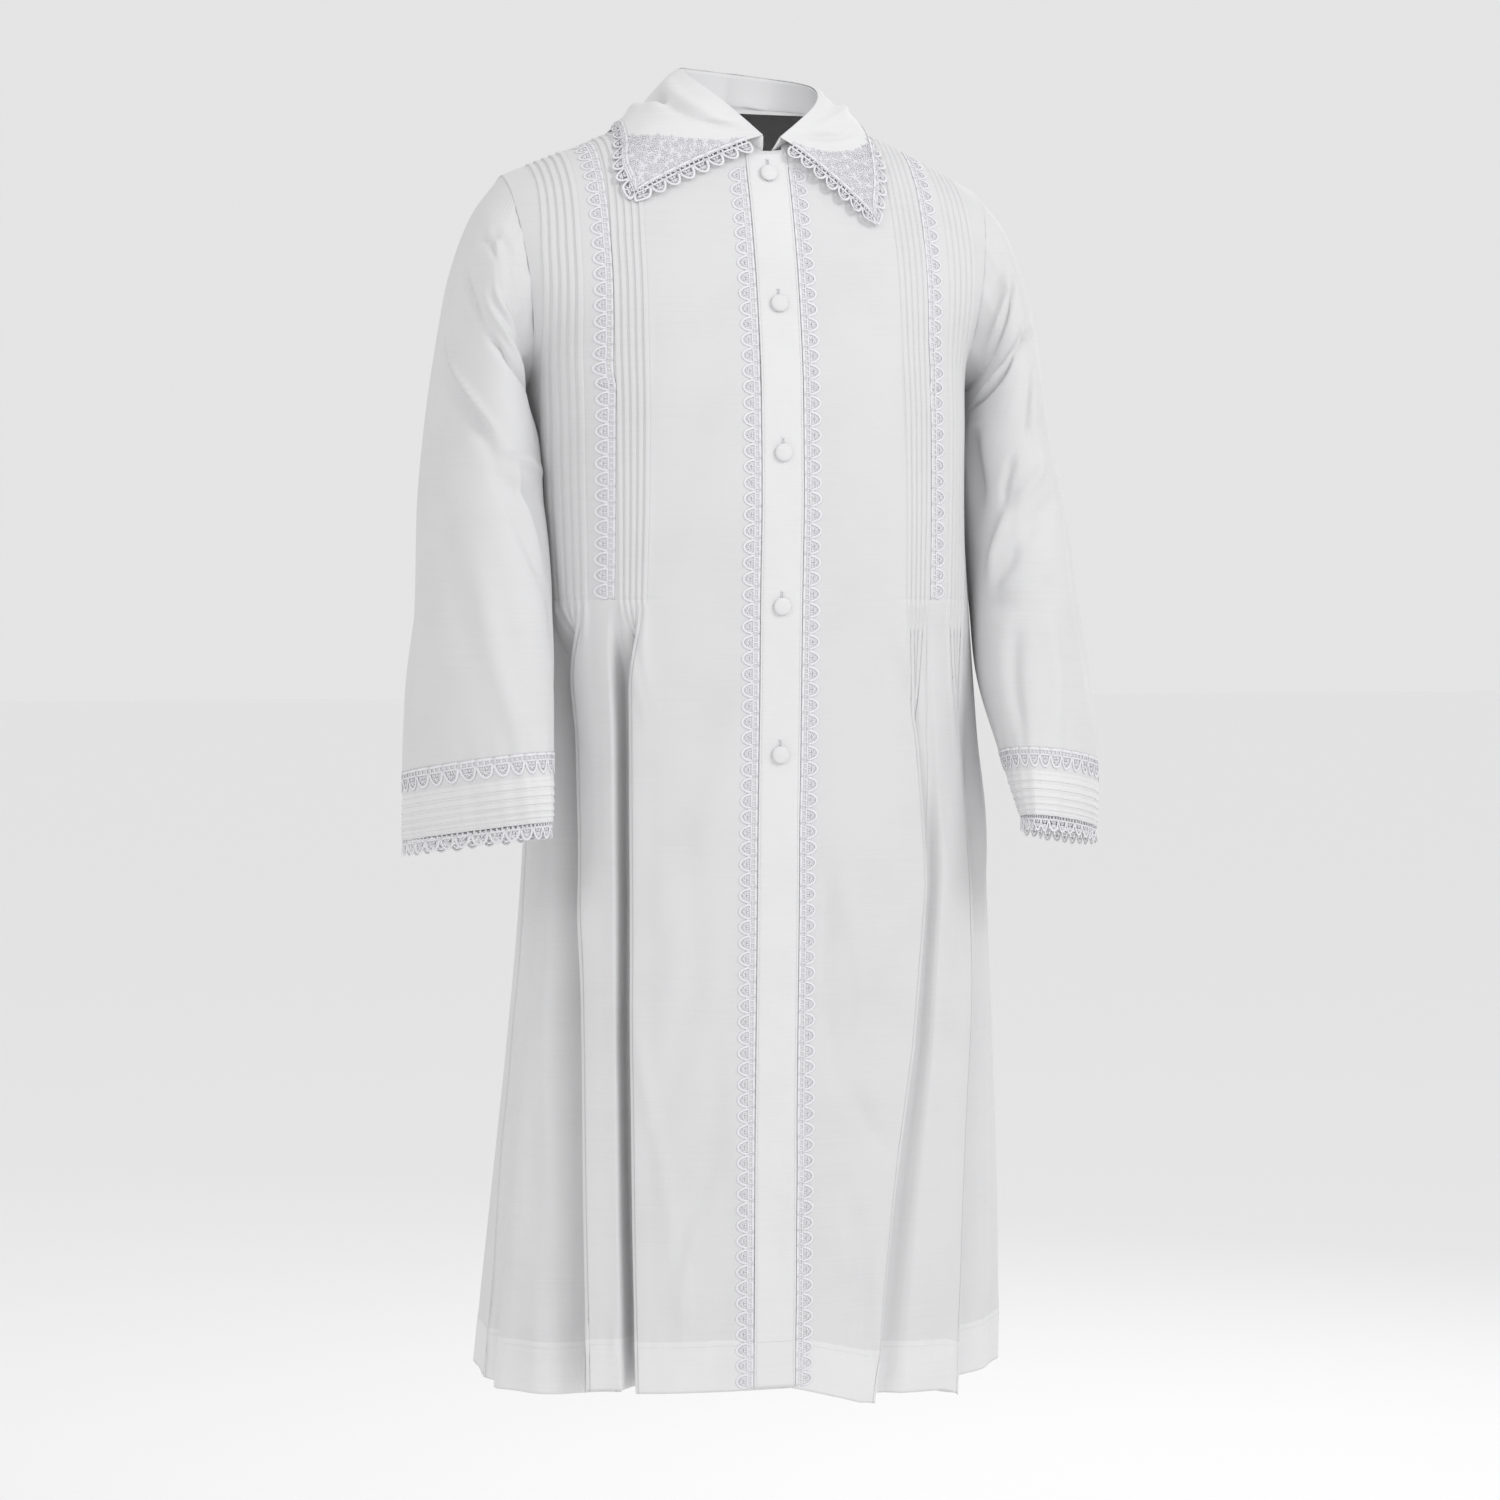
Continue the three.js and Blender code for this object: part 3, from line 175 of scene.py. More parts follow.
class Panel:
    """A front or half a back: v counts its sections from the hem up, and s goes round to the side."""

    def __init__(self, sections, side, flutes):
        self.sections, self.side, self.flutes = sections, side, flutes
        self.outward = 1 if sections is FRONT else -1

    def section(self, v):
        v = np.asarray(v, float)
        found = {}
        for name, column in self.sections.items():
            skirt = between(column, np.minimum(v, UNDERARM), 0, UNDERARM)
            chest = between(column, np.maximum(v, UNDERARM), UNDERARM, SHOULDER)
            found[name] = np.where(v <= UNDERARM, skirt, chest)
        found["innerX"] = np.maximum(0, found["innerX"])
        found["outerX"] = found["outerRight"] if self.side < 0 else found["outerLeft"]
        return found

    def share_at(self, v, x):
        c = self.section(v)
        t = np.clip((np.abs(x) - c["innerX"]) / (c["outerX"] - c["innerX"]), 0, 1)
        sweep = np.radians(np.minimum(90, c["sweep"]))
        reach = t * np.sin(sweep) ** (2 / c["square"])
        turned = np.arcsin(np.minimum(1, reach ** (c["square"] / 2)))
        return np.where(np.asarray(x) < 0, -1, 1) * turned / sweep

    def base(self, v, s):
        c = self.section(v)
        sweep = np.radians(np.minimum(90, c["sweep"]))
        power = 2 / c["square"]
        turned = np.minimum(1, np.abs(s)) * sweep
        cosine = np.maximum(0, np.cos(turned))
        t = np.sin(turned) ** power / np.sin(sweep) ** power
        rise = (1 - cosine**power) / (1 - np.maximum(0, np.cos(sweep)) ** power)
        x = np.where(np.asarray(s) < 0, -1, 1) * mix(c["innerX"], c["outerX"], t)
        y = mix(c["innerY"], c["outerY"], rise)
        z = mix(c["innerZ"], c["outerZ"], t)
        swing = 0
        for at, width, depth, top in self.flutes:
            grown = smooth((top - z) / (top - HEM_EDGE))
            swing = swing + depth * grown * bell(np.abs(s) - at, width)
        out = unit(np.stack([x, 1.6 * (y - c["outerY"]) + 0 * x, 0 * x], -1))
        return np.stack([x, y + 0 * x, z + 0 * x], -1) + out * np.asarray(swing)[..., None]

    def facing(self, v, s):
        v, s = np.broadcast_arrays(np.asarray(v, float), np.asarray(s, float))
        step = 0.02
        far = np.where(s >= 1 - step, s, s + step)
        across = self.base(v, far) - self.base(v, s - step)
        up = self.base(np.minimum(SHOULDER, v + step), s) - self.base(np.maximum(0, v - step), s)
        n = unit(np.cross(across, up) * self.outward)
        n[(s >= 1) & (v <= UNDERARM)] = (1, 0, 0)
        n[..., 0] *= self.side
        return n

    def point(self, v, s, height=0):
        p = self.base(v, s)
        p[..., 0] *= self.side
        return p + self.facing(v, s) * np.asarray(height)[..., None]

    def section_at(self, x, z):
        x, z = np.broadcast_arrays(np.asarray(x, float), np.asarray(z, float))
        low, high = np.zeros(x.shape), np.full(x.shape, float(SHOULDER))
        for _ in range(30):
            middle = (low + high) / 2
            below = self.base(middle, self.share_at(middle, x))[..., 2] < z
            low, high = np.where(below, middle, low), np.where(below, high, middle)
        return (low + high) / 2

    def at(self, x, z, height=0):
        v = self.section_at(x, z)
        return self.point(v, self.share_at(v, x), height)


front_right = Panel(FRONT, -1, FLUTES["frontRight"])
front_left = Panel(FRONT, 1, FLUTES["frontLeft"])


def release(z, word):
    """How far the pleats are open at a height."""
    return smooth((PLEAT_START - z) / (PLEAT_START - PLEAT_FULL[word]))


def hem_share(z):
    return smooth((DIP_FROM - z) / (DIP_FROM - HEM_EDGE))


def rows_up(skirt_rows, chest_rows):
    """The rows of cloth up a panel, close together where the tucks are let go and the hem is sewn."""
    heights = np.linspace(HEM_EDGE, UNDERARM_HEIGHT, skirt_rows)
    close = [TUCKS_END + k for k in (-9, -6, -3.5, -1.6, -0.5, 0.6, 2, 4)]
    close += [HEM_EDGE + HEM_TURN + k for k in (-3, -1.4, -0.5, 0.4, 1.4, 3)]
    heights = np.unique(np.concatenate([heights, close]))
    skirt = np.interp(heights, FRONT["outerZ"][: UNDERARM + 1], np.arange(UNDERARM + 1))
    return np.concatenate([skirt, np.linspace(UNDERARM, SHOULDER, chest_rows)[1:]])


def front_columns(panel, v, edge):
    """The columns of cloth round a front: share round the panel, lift, depth behind it and dip.
    place runs from 0 at the edge to 3, through the inner tucks to 13, across to 14, through the outer
    tucks to 24, and on to 27 at the side."""
    c = panel.section(v)
    z = c["outerZ"][:, None]
    v = v[:, None]
    word = word_of(panel.side)
    opened = release(z, word)
    height = TUCK_HEIGHT * (1 - smooth((TUCKS_END - z) / LET_GO))
    gathers = smooth((TUCKS_END - z) / 10) * (1 - smooth((TUCKS_END - 14 - z) / GATHERED[word]))

    def group(name):
        across = np.concatenate([[0]] + [k + TUCK_PROFILE["across"] for k in range(TUCKS)])
        lift = np.concatenate([[0]] + [TUCK_PROFILE["height"]] * TUCKS)
        across = np.append(across, TUCKS + TUCK_STEP / 5.6)
        lift = np.append(lift, 0)
        start = np.interp(z, TUCK_LINES["z"], TUCK_LINES[name + "From"])
        stop = np.interp(z, TUCK_LINES["z"], TUCK_LINES[name + "To"])
        fold = np.interp(z, PLEATS["z"], PLEATS[word.lower() + name.capitalize()])
        stitched = mix(start, stop, across / TUCKS)
        path = np.clip(2 * across, 0, 2 * TUCKS)
        hung = fold + between(PLEAT_PATH["along"], path)
        x = mix(stitched, hung, opened)
        ripple = np.sin(np.pi * np.clip(across, 0, TUCKS)) ** 2 * gathers * RIPPLE
        raised = lift * height + ripple * (1 - 0.7 * opened)
        inward = between(PLEAT_PATH["inward"], path) * opened * PLEAT_DEPTH[word]
        return panel.share_at(v, x), raised, inward, path

    inner, outer = group("inner"), group("outer")
    start = panel.share_at(v, np.where(c["innerX"][:, None] > 0, max(edge, 0), edge))
    nothing = np.zeros(start.shape)
    parts = []
    t = np.linspace(0, 1, FLATS + 1)[:-1] ** 0.9
    parts.append((mix(start, inner[0][:, :1], t), 0 * t + nothing, 0 * t + nothing, 3 * t))
    parts.append((inner[0], inner[1], inner[2], 3 + inner[3]))
    t = np.linspace(0, 1, GAP + 2)[1:-1]
    parts.append((mix(inner[0][:, -1:], outer[0][:, :1], t), 0 * t + nothing,
                  mix(inner[2][:, -1:], outer[2][:, :1], smooth((t - 0.1) / 0.24)), 13 + t))
    parts.append((outer[0], outer[1], outer[2], 14 + outer[3]))
    t = np.linspace(0, 1, SIDES + 1)[1:]
    parts.append((mix(outer[0][:, -1:], 1, t), 0 * t + nothing,
                  outer[2][:, -1:] * (1 - smooth(t / 0.34)), 24 + 3 * t))
    share, raised, inward = (np.concatenate([p[k] for p in parts], 1) for k in range(3))
    share[:, -1] = 1
    place = np.concatenate([p[3] for p in parts])
    dip = HEM_DIP[word]
    dips = np.interp(place, [0, 3, 6, 13, 17, 27],
                     [0, dip["fold"] * 0.86, dip["fold"], dip["behind"], dip["second"], dip["side"]])
    return share, raised, inward, dips * hem_share(z), place


def creases(across, up, strokes):
    """Soft troughs (depth under 0) and ridges, each from one place to another, deepest halfway."""
    lift = np.zeros(np.broadcast(across, up).shape)
    for x0, z0, x1, z1, width, depth in strokes:
        dx, dz = x1 - x0, z1 - z0
        long = math.hypot(dx, dz)
        t = ((across - x0) * dx + (up - z0) * dz) / long**2
        bend = 0.06 * long * np.sin(3.1 * t + x0)
        off = ((across - x0) * dz - (up - z0) * dx) / long - bend
        ends = smooth((t + 0.12) / 0.4) * smooth((1.12 - t) / 0.5)
        lift += depth * ends * bell(off, width)
    return lift


def puckers(along, pitch, seed):
    """The uneven small ripples along a seam, from -1 to 1."""
    w = along / pitch
    return 0.5 * (np.sin(6.283 * w + seed) * np.sin(1.7 * w + 2 * seed)
                  + np.sin(9.1 * w + 1.3 * seed) * np.sin(0.63 * w + seed))


def hem_lift(z, edge, along, seed, flat_to=-1000):
    """The turned-up hem stands a little proud, with a stitched groove and puckers at its top."""
    above = z - edge
    double = VOILE * (1 - smooth((above - HEM_TURN + 2) / 2))
    groove = -0.55 * bell(above - HEM_TURN + 1, 1.1)
    ripple = puckers(along, HEM_PUCKER["pitch"], seed) * HEM_PUCKER["height"]
    ripple = ripple * bell(above - HEM_TURN, HEM_PUCKER["reach"])
    ripple = ripple * smooth((along - flat_to) / 8)  # none where the band is sewn over it
    return double + groove + ripple


def grid_normals(grid, closed):
    """The way each point of a grid faces, from its neighbours round and up."""
    if closed:
        round_it = np.roll(grid, -1, 1) - np.roll(grid, 1, 1)
    else:
        round_it = np.gradient(grid, axis=1)
    return unit(np.cross(round_it, np.gradient(grid, axis=0)))


def make_piece(name, points, faces, materials, stripes=None):
    """A mesh object from points in millimetres and faces, each with the number of its material."""
    mesh = bpy.data.meshes.new(name)
    sizes = np.array([len(f) for f in faces])
    mesh.vertices.add(len(points))
    mesh.vertices.foreach_set("co", (np.asarray(points) * MM).astype(np.float32).ravel())
    corners = np.concatenate([np.asarray(f).ravel() for f in faces])
    mesh.loops.add(len(corners))
    mesh.loops.foreach_set("vertex_index", np.asarray(corners, np.int32))
    mesh.polygons.add(len(faces))
    starts = np.concatenate([[0], np.cumsum(sizes)[:-1]])
    mesh.polygons.foreach_set("loop_start", starts.astype(np.int32))
    mesh.polygons.foreach_set("loop_total", sizes.astype(np.int32))
    for material in materials:
        mesh.materials.append(material)
    if stripes is not None:
        mesh.polygons.foreach_set("material_index", np.asarray(stripes, np.int32))
    mesh.update(calc_edges=True)
    mesh.validate()
    mesh.polygons.foreach_set("use_smooth", np.ones(len(mesh.polygons), bool))
    piece = bpy.data.objects.new(name, mesh)
    bpy.context.scene.collection.objects.link(piece)
    return piece


def cloth_sheet(name, grid, thickness, materials, outward=1, closed=False, doubled=None):
    """A sheet of cloth on a grid of points: its outer face, its inner face and the edge between them.
    doubled says which rows are two cloths thick and take the second material."""
    rows, columns = grid.shape[:2]
    facing = grid_normals(grid, closed) * outward
    points = np.concatenate([grid.reshape(-1, 3), (grid - facing * thickness).reshape(-1, 3)])
    number = np.arange(rows * columns).reshape(rows, columns)
    right = np.roll(number, -1, 1) if closed else number[:, 1:]
    left = number if closed else number[:, :-1]
    quads = np.stack([left[:-1], right[:-1], right[1:], left[1:]], -1)
    outer = quads.reshape(-1, 4)
    inner = outer[:, ::-1] + rows * columns
    edges = [(left[0], right[0]), (right[-1], left[-1])]
    if not closed:
        edges += [(number[1:, 0], number[:-1, 0]), (number[:-1, -1], number[1:, -1])]
    rims = [np.stack([b, a, a + rows * columns, b + rows * columns], -1) for a, b in edges]
    faces = np.concatenate([outer, inner] + rims)
    if outward < 0:
        faces = faces[:, ::-1]
    stripes = None
    if doubled is not None:
        row = np.repeat(np.arange(rows - 1), quads.shape[1])
        flag = doubled[row].astype(int)
        stripes = np.concatenate([flag, flag, np.zeros(len(faces) - 2 * len(flag), int)])
    return make_piece(name, points, faces, materials, stripes)


def new_material(name, roughness, specular, sheen=0):
    """A plain material to build on, with its nodes, its links and its surface."""
    material = bpy.data.materials.new(name)
    material.use_nodes = True
    surface = material.node_tree.nodes["Principled BSDF"]
    surface.inputs["Roughness"].default_value = roughness
    surface.inputs["Specular IOR Level"].default_value = specular
    surface.inputs["Sheen Weight"].default_value = sheen
    return material, material.node_tree.nodes, material.node_tree.links, surface


def colour_between(nodes, links, value, surface, low, high):
    """Colours the surface by a value, from low to high: each is a value and its colour."""
    ramp = nodes.new("ShaderNodeValToRGB")
    for element, (position, colour) in zip(ramp.color_ramp.elements, (low, high)):
        element.position = position
        element.color = (*colour, 1)
    links.new(value, ramp.inputs["Fac"])
    links.new(ramp.outputs["Color"], surface.inputs["Base Color"])


def emboss(nodes, links, value, surface, strength, distance):
    """Raises the surface by a value, as threads do."""
    bump = nodes.new("ShaderNodeBump")
    bump.inputs["Strength"].default_value = strength
    bump.inputs["Distance"].default_value = distance
    links.new(value, bump.inputs["Height"])
    links.new(bump.outputs["Normal"], surface.inputs["Normal"])


def voile_material(name, colour, roughness=0.82, shade=0.014):
    """White voile: fine weave, long slubs running across, and a soft uneven tone."""
    material, nodes, links, surface = new_material(name, roughness, 0.25, 0.12)
    surface.inputs["Sheen Roughness"].default_value = 0.5
    place = nodes.new("ShaderNodeTexCoord")

    def noise(scale, detail, stretch):
        mapping = nodes.new("ShaderNodeMapping")
        mapping.inputs["Scale"].default_value = stretch
        links.new(place.outputs["Object"], mapping.inputs["Vector"])
        made = nodes.new("ShaderNodeTexNoise")
        made.inputs["Scale"].default_value = scale
        made.inputs["Detail"].default_value = detail
        links.new(mapping.outputs["Vector"], made.inputs["Vector"])
        return made.outputs["Fac"]

    def add(value, share, more):
        made = nodes.new("ShaderNodeMath")
        made.operation = "MULTIPLY_ADD"
        links.new(value, made.inputs[0])
        made.inputs[1].default_value = share
        links.new(more, made.inputs[2])
        return made.outputs[0]

    slubs = noise(1.0, 3, (16, 16, 900))
    threads = noise(1.0, 2, (1400, 1400, 60))
    cloudy = noise(14.0, 3, (1, 1, 1))
    tone = add(slubs, 0.65, add(threads, 0.2, cloudy))
    colour_between(nodes, links, tone, surface, (0.62, [c * (1 - 2.2 * shade) for c in colour]),
                   (1.0, [min(1, c * (1 + shade)) for c in colour]))
    emboss(nodes, links, tone, surface, 0.12, 0.0004)
    return material


voile = voile_material("voile", (0.68, 0.68, 0.688))
double_voile = voile_material("double_voile", (0.74, 0.74, 0.748), shade=0.015)

# The soft folds that each front hangs in, by distance across and height.
FRONT_CREASES = {
    "Right": [
        (40, -470, 75, -900, 16, 3.0), (64, -910, 87, -1054, 10, -4.0),
        (72, -981, 77, -1110, 6, 3.8), (52, -1050, 50, -1145, 8, -2.8),
        (103, -670, 99, -744, 12, 2.5), (95, -640, 104, -980, 12, -3.2),
        (130, -450, 124, -556, 5, 2.0), (117, -450, 115, -546, 5, 2.0),
        (30, -760, 45, -1130, 10, 2.2), (112, -780, 110, -1130, 7, 2.5),
        (187, -842, 215, -1101, 8, -3.5), (172, -640, 196, -1080, 12, 4.5),
        (150, -120, 120, -260, 14, -1.2), (70, -150, 100, -420, 22, -2.0),
        (196, -240, 168, -330, 9, -3.0), (198, -300, 170, -450, 10, 2.8),
        (40, -620, 28, -960, 12, -2.0), (30, -250, 90, -330, 18, 1.2),
    ],
    "Left": [
        (37, -674, 69, -880, 9, -4.5), (69, -880, 117, -943, 10, -3.8),
        (54, -690, 86, -870, 10, 3.8), (33, -600, 42, -800, 12, -2.5),
        (114, -487, 145, -582, 8, -2.8), (119, -450, 127, -530, 6, 2.2),
        (152, -530, 161, -714, 7, 2.2), (60, -960, 88, -1130, 9, -3.2),
        (100, -980, 110, -1140, 9, 3.0), (25, -900, 32, -1130, 8, 2.2),
        (100, -480, 60, -620, 15, -2.2), (200, -560, 214, -1080, 12, 5.2),
        (190, -250, 150, -340, 9, -3.2), (150, -160, 105, -330, 16, 1.5),
        (40, -300, 95, -430, 18, -1.2),
    ],
}
STITCH = {"pitch": 2.4, "long": 1.7, "thick": 0.32}


def run_of(line):
    """How far along a line of points each of them is."""
    return np.concatenate([[0], np.cumsum(np.linalg.norm(np.diff(line, axis=0), axis=1))])


def read(line, length, at):
    """What a line says at distances along it."""
    return np.stack([np.interp(at, length, line[:, k]) for k in range(3)], -1)


def stitches(name, lines, material):
    """Rows of stitches: each line is its points and the way the cloth faces along it."""
    points, faces = [], []
    corner = [(-0.5, 0, 0.1), (-0.15, -0.5, 0.2), (-0.15, 0, 0.75), (-0.15, 0.5, 0.2),
              (0.15, -0.5, 0.2), (0.15, 0, 0.75), (0.15, 0.5, 0.2), (0.5, 0, 0.1)]
    shape = np.array(corner) * (STITCH["long"], STITCH["thick"], STITCH["thick"])
    sides = [(0, 1, 2), (0, 2, 3), (0, 3, 1), (1, 4, 5), (1, 5, 2), (2, 5, 6), (2, 6, 3), (3, 6, 4),
             (3, 4, 1), (7, 5, 4), (7, 6, 5), (7, 4, 6)]
    for line, facing in lines:
        length = run_of(line)
        at = np.arange(STITCH["pitch"] / 2, length[-1], STITCH["pitch"])
        out = unit(read(facing, length, at))
        along = unit(read(line, length, at + 0.5) - read(line, length, at - 0.5))
        across = unit(np.cross(out, along))
        made = read(line, length, at)[:, None] + sum(
            shape[:, k, None] * way[:, None] for k, way in enumerate((along, across, out)))
        first = sum(len(p) for p in points)
        points.append(made.reshape(-1, 3))
        number = first + np.arange(len(at))[:, None, None] * len(shape) + np.array(sides)[None]
        faces.append(number.reshape(-1, 3))
    piece = make_piece(name, np.concatenate(points), np.concatenate(faces), [material])
    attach(piece, "root")
    return piece


FLATS, GAP, SIDES = 20, 12, 20  # columns of plain cloth before, between and after the groups of tucks
UNDER_BAND = 36  # how far from its edge a front is covered by the band
EASED = 40  # times that the cloth by the underarm is evened out
GROUP_COLUMNS = TUCKS * len(TUCK_PROFILE["height"]) + 2


def front(name, panel, edge, seed):
    """One front with its tucks, pleats and hem: the piece and the lines its stitches follow."""
    v = rows_up(*FRONT_ROWS)
    share, raised, inward, dip, place = front_columns(panel, v, edge)
    v = np.broadcast_to(v[:, None], share.shape)
    base = panel.base(v, share)
    across, z = np.abs(base[..., 0]), base[..., 2]
    soft = creases(across, z, FRONT_CREASES[word_of(panel.side)])
    soft = soft * (1 - 0.8 * smooth((z + 470) / 60) * (place > 3))
    length = np.cumsum(np.linalg.norm(np.diff(base, axis=1, prepend=base[:, :1]), axis=-1), 1)
    raised = raised + soft + hem_lift(z, HEM_EDGE, length, seed, UNDER_BAND)
    stitched = (place > 2.6) & (place < 24.4)
    raised = raised - 0.5 * stitched * bell(z - TUCKS_END, 1.4)
    facing = panel.facing(v, share)
    point = base * (panel.side, 1, 1) + facing * (raised - inward)[..., None]
    edge_gap = -panel.outward * SEAM_GAP / 2
    point[..., 1] += edge_gap * ((v >= SHOULDER) | ((v <= UNDERARM) & (share >= 1)))
    point[..., 2] -= dip
    near_underarm = bell(z[1:-1] - UNDERARM_HEIGHT, 34)
    near_underarm = near_underarm * smooth((1 - share[1:-1]) / 0.12)
    for _ in range(EASED):
        even = (point[2:] + point[:-2]) / 2
        point[1:-1] += (even - point[1:-1]) * (0.6 * near_underarm)[..., None]
    middle = (v[:-1, 0] + v[1:, 0]) / 2
    double = panel.section(middle)["outerZ"] < HEM_EDGE + HEM_TURN
    piece = cloth_sheet(name, point, VOILE, [voile, double_voile], panel.side, doubled=double)
    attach(piece, "root")
    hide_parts(name)
    rows = z[:, 0] > TUCKS_END
    bases = [FLATS + 3 + g * (GROUP_COLUMNS + GAP) + len(TUCK_PROFILE["height"]) * k
             for g in (0, 1) for k in range(TUCKS)]
    lines = [(point[rows, c], facing[rows, c]) for c in bases]
    hem_row = int(np.argmin(np.abs(z[:, 0] - (HEM_EDGE + HEM_TURN - 2))))
    lines.append((point[hem_row], grid_normals(point, False)[hem_row] * panel.side))
    return piece, lines


right_piece, right_lines = front("front_right", front_right, RIGHT_FRONT_EDGE, 1.3)
left_piece, left_lines = front("front_left", front_left, LEFT_FRONT_EDGE, 4.1)


# ---------------------------------------------------------------- the back
# The back is one wide piece of the same voile, cut plain. It hangs in soft flutes from the shoulder
# blades and is seamed to the fronts at shoulders and sides. Its hem sits a little higher than theirs.
# Its side, armhole and shoulder edges are as wide and as high as those of the fronts.
BACK = dict(FRONT, **table(
    "innerZ innerX innerY outerY sweep square",
    [-1150, 0, 192, 70, 90, 2.5],
    [-1000, 0, 178, 62, 90, 2.5],
    [-850, 0, 162, 50, 90, 2.5],
    [-700, 0, 145, 36, 90, 2.5],
    [-560, 0, 128, 24, 90, 2.5],
    [-440, 0, 116, 16, 90, 2.5],
    [-350, 0, 118, 14, 90, 2.6],
    [-250, 0, 128, 14, 90, 2.6],
    [-208, 0, 131, 60, 64, 2.5],
    [-148, 0, 128, 88, 60, 2.4],
    [-92, 0, 117, 90, 56, 2.3],
    [-44, 0, 98, 82, 50, 2.2],
    [14, 0, 68, 70, 40, 2.1],
    [14, 40, 53, 58, 30, 2],
    [10, 62, 28, 46, 20, 2],
    [4, 72, 0, 36, 10, 2],
))
BACK_HEM_RISE = 14
BACK_COLUMNS = 46  # of each half
BACK_ROWS = (120, 44)
back_right = Panel(BACK, -1, FLUTES["backRight"])
back_left = Panel(BACK, 1, FLUTES["backLeft"])
BACK_CREASES = [
    (-165, -130, -70, -330, 18, -4.2), (165, -130, 80, -340, 18, -4.0),
    (-110, -300, -90, -640, 18, 3.6), (40, -360, 60, -800, 22, -3.8),
    (120, -420, 140, -900, 16, 4.0), (-30, -480, -50, -1000, 20, -3.8),
    (-195, -225, -120, -345, 11, -3.8), (195, -225, 110, -360, 11, -3.8),
    (-20, -90, 10, -230, 25, -2.0), (-160, -520, -175, -1050, 14, -4.2),
    (92, -640, 100, -1130, 12, -3.4), (-95, -700, -112, -1120, 11, 3.2),
    (-130, -150, -150, -420, 14, 2.8), (128, -150, 152, -430, 14, 2.8),
    (10, -620, 6, -1110, 14, 3.0), (-62, -330, -20, -560, 14, 2.2),
    (165, -560, 180, -1090, 12, -3.2), (-140, -690, -140, -1130, 9, 2.4),
]


def back():
    """The back with its flutes and hem, and the line of its hem's stitches."""
    v = rows_up(*BACK_ROWS)[:, None]
    halves = []
    for panel in (back_right, back_left):
        s = np.linspace(0, 1, BACK_COLUMNS)[None]
        facing = panel.facing(v, s)
        base = panel.base(v, s) * (panel.side, 1, 1)
        at_side = HEM_DIP[word_of(panel.side)]["side"]
        dip = hem_share(base[..., 2]) * mix(-BACK_HEM_RISE, at_side, s**3)
        soft = creases(base[..., 0], base[..., 2], BACK_CREASES) * smooth((1 - s) / 0.1)
        soft = soft * smooth((-60 - base[..., 2]) / 60)
        soft = soft + hem_lift(base[..., 2], HEM_EDGE, base[..., 0], 2.2)
        point = base + facing * soft[..., None]
        gap = (v >= SHOULDER) | ((v <= UNDERARM) & (s >= 1))
        point[..., 1] += gap * SEAM_GAP / 2
        point[..., 2] -= dip
        halves.append(point[:, ::-1] if panel.side < 0 else point[:, 1:])
    grid = np.concatenate(halves, 1)
    middle = (v[:-1, 0] + v[1:, 0]) / 2
    double = back_left.section(middle)["outerZ"] < HEM_EDGE + HEM_TURN
    piece = cloth_sheet("back", grid, VOILE, [voile, double_voile], -1, doubled=double)
    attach(piece, "root")
    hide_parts("back")
    heights = back_left.section(v[:, 0])["outerZ"]
    row = int(np.argmin(np.abs(heights - (HEM_EDGE + HEM_TURN - 2))))
    return piece, [(grid[row], -grid_normals(grid, False)[row])]


back_piece, back_lines = back()


# ---------------------------------------------------------------- the sleeves
# Each sleeve is a wide tube of voile set into the armhole, with five tucks round it above a narrow
# hem. It hangs a little forwards, as over an arm, so folds are dragged from the underarm across it.
ARMHOLE_SECTIONS = [7, 8, 9, 10, 11, 11.5, 12, 12.5, 13, 14, 15]
ARMHOLE_STEPS = len(ARMHOLE_SECTIONS) - 1
AROUND = 2 * ARMHOLE_STEPS
ARMHOLE_MIDDLE = (0, 20, -152)
ARMHOLE_DEPTH, ARMHOLE_HEIGHT = 72, 98
SLEEVE = table(
    "rightX leftX y z out pitch front turn rise",
    [232, 230, 20, -170, 80, 78, 80, 0, 0],
    [239, 240, 20, -199, 61, 62, 85, 2, 0],
    [243, 247, 17, -238, 47, 40, 86, 5, 0],
    [246, 251, 12, -287, 45, 16, 84, 8, 2],
    [249, 259, 3, -355, 50, 4, 82, 10, 4],
    [251, 264, -20, -445, 52, 0, 84, 20, 8],
    [256, 267, -40, -513, 53, 0, 86, 26, 10],
    [262, 273, -60, -578, 44, 0, 88, 31, 12],
    [267, 278, -79, -645, 28, 0, 90, 34, 12],
)
RINGS = len(SLEEVE["z"])
CUFF_LENGTH = 70  # cloth between the last two rings
CUFF_HEM = 8
CUFF_TUCK = 7
CUFF_TUCK_HEIGHT = 0.72
SLEEVE_LINE = 23  # roughly between two lines round a sleeve
SLEEVE_RING = 66  # and between two rings
SLEEVE_COLUMNS = 176
SLEEVE_ROWS = 100
PLAIN_TO = 8.3  # the ring down to which a sleeve is plain, above its tucks
TURN = 2 * np.pi


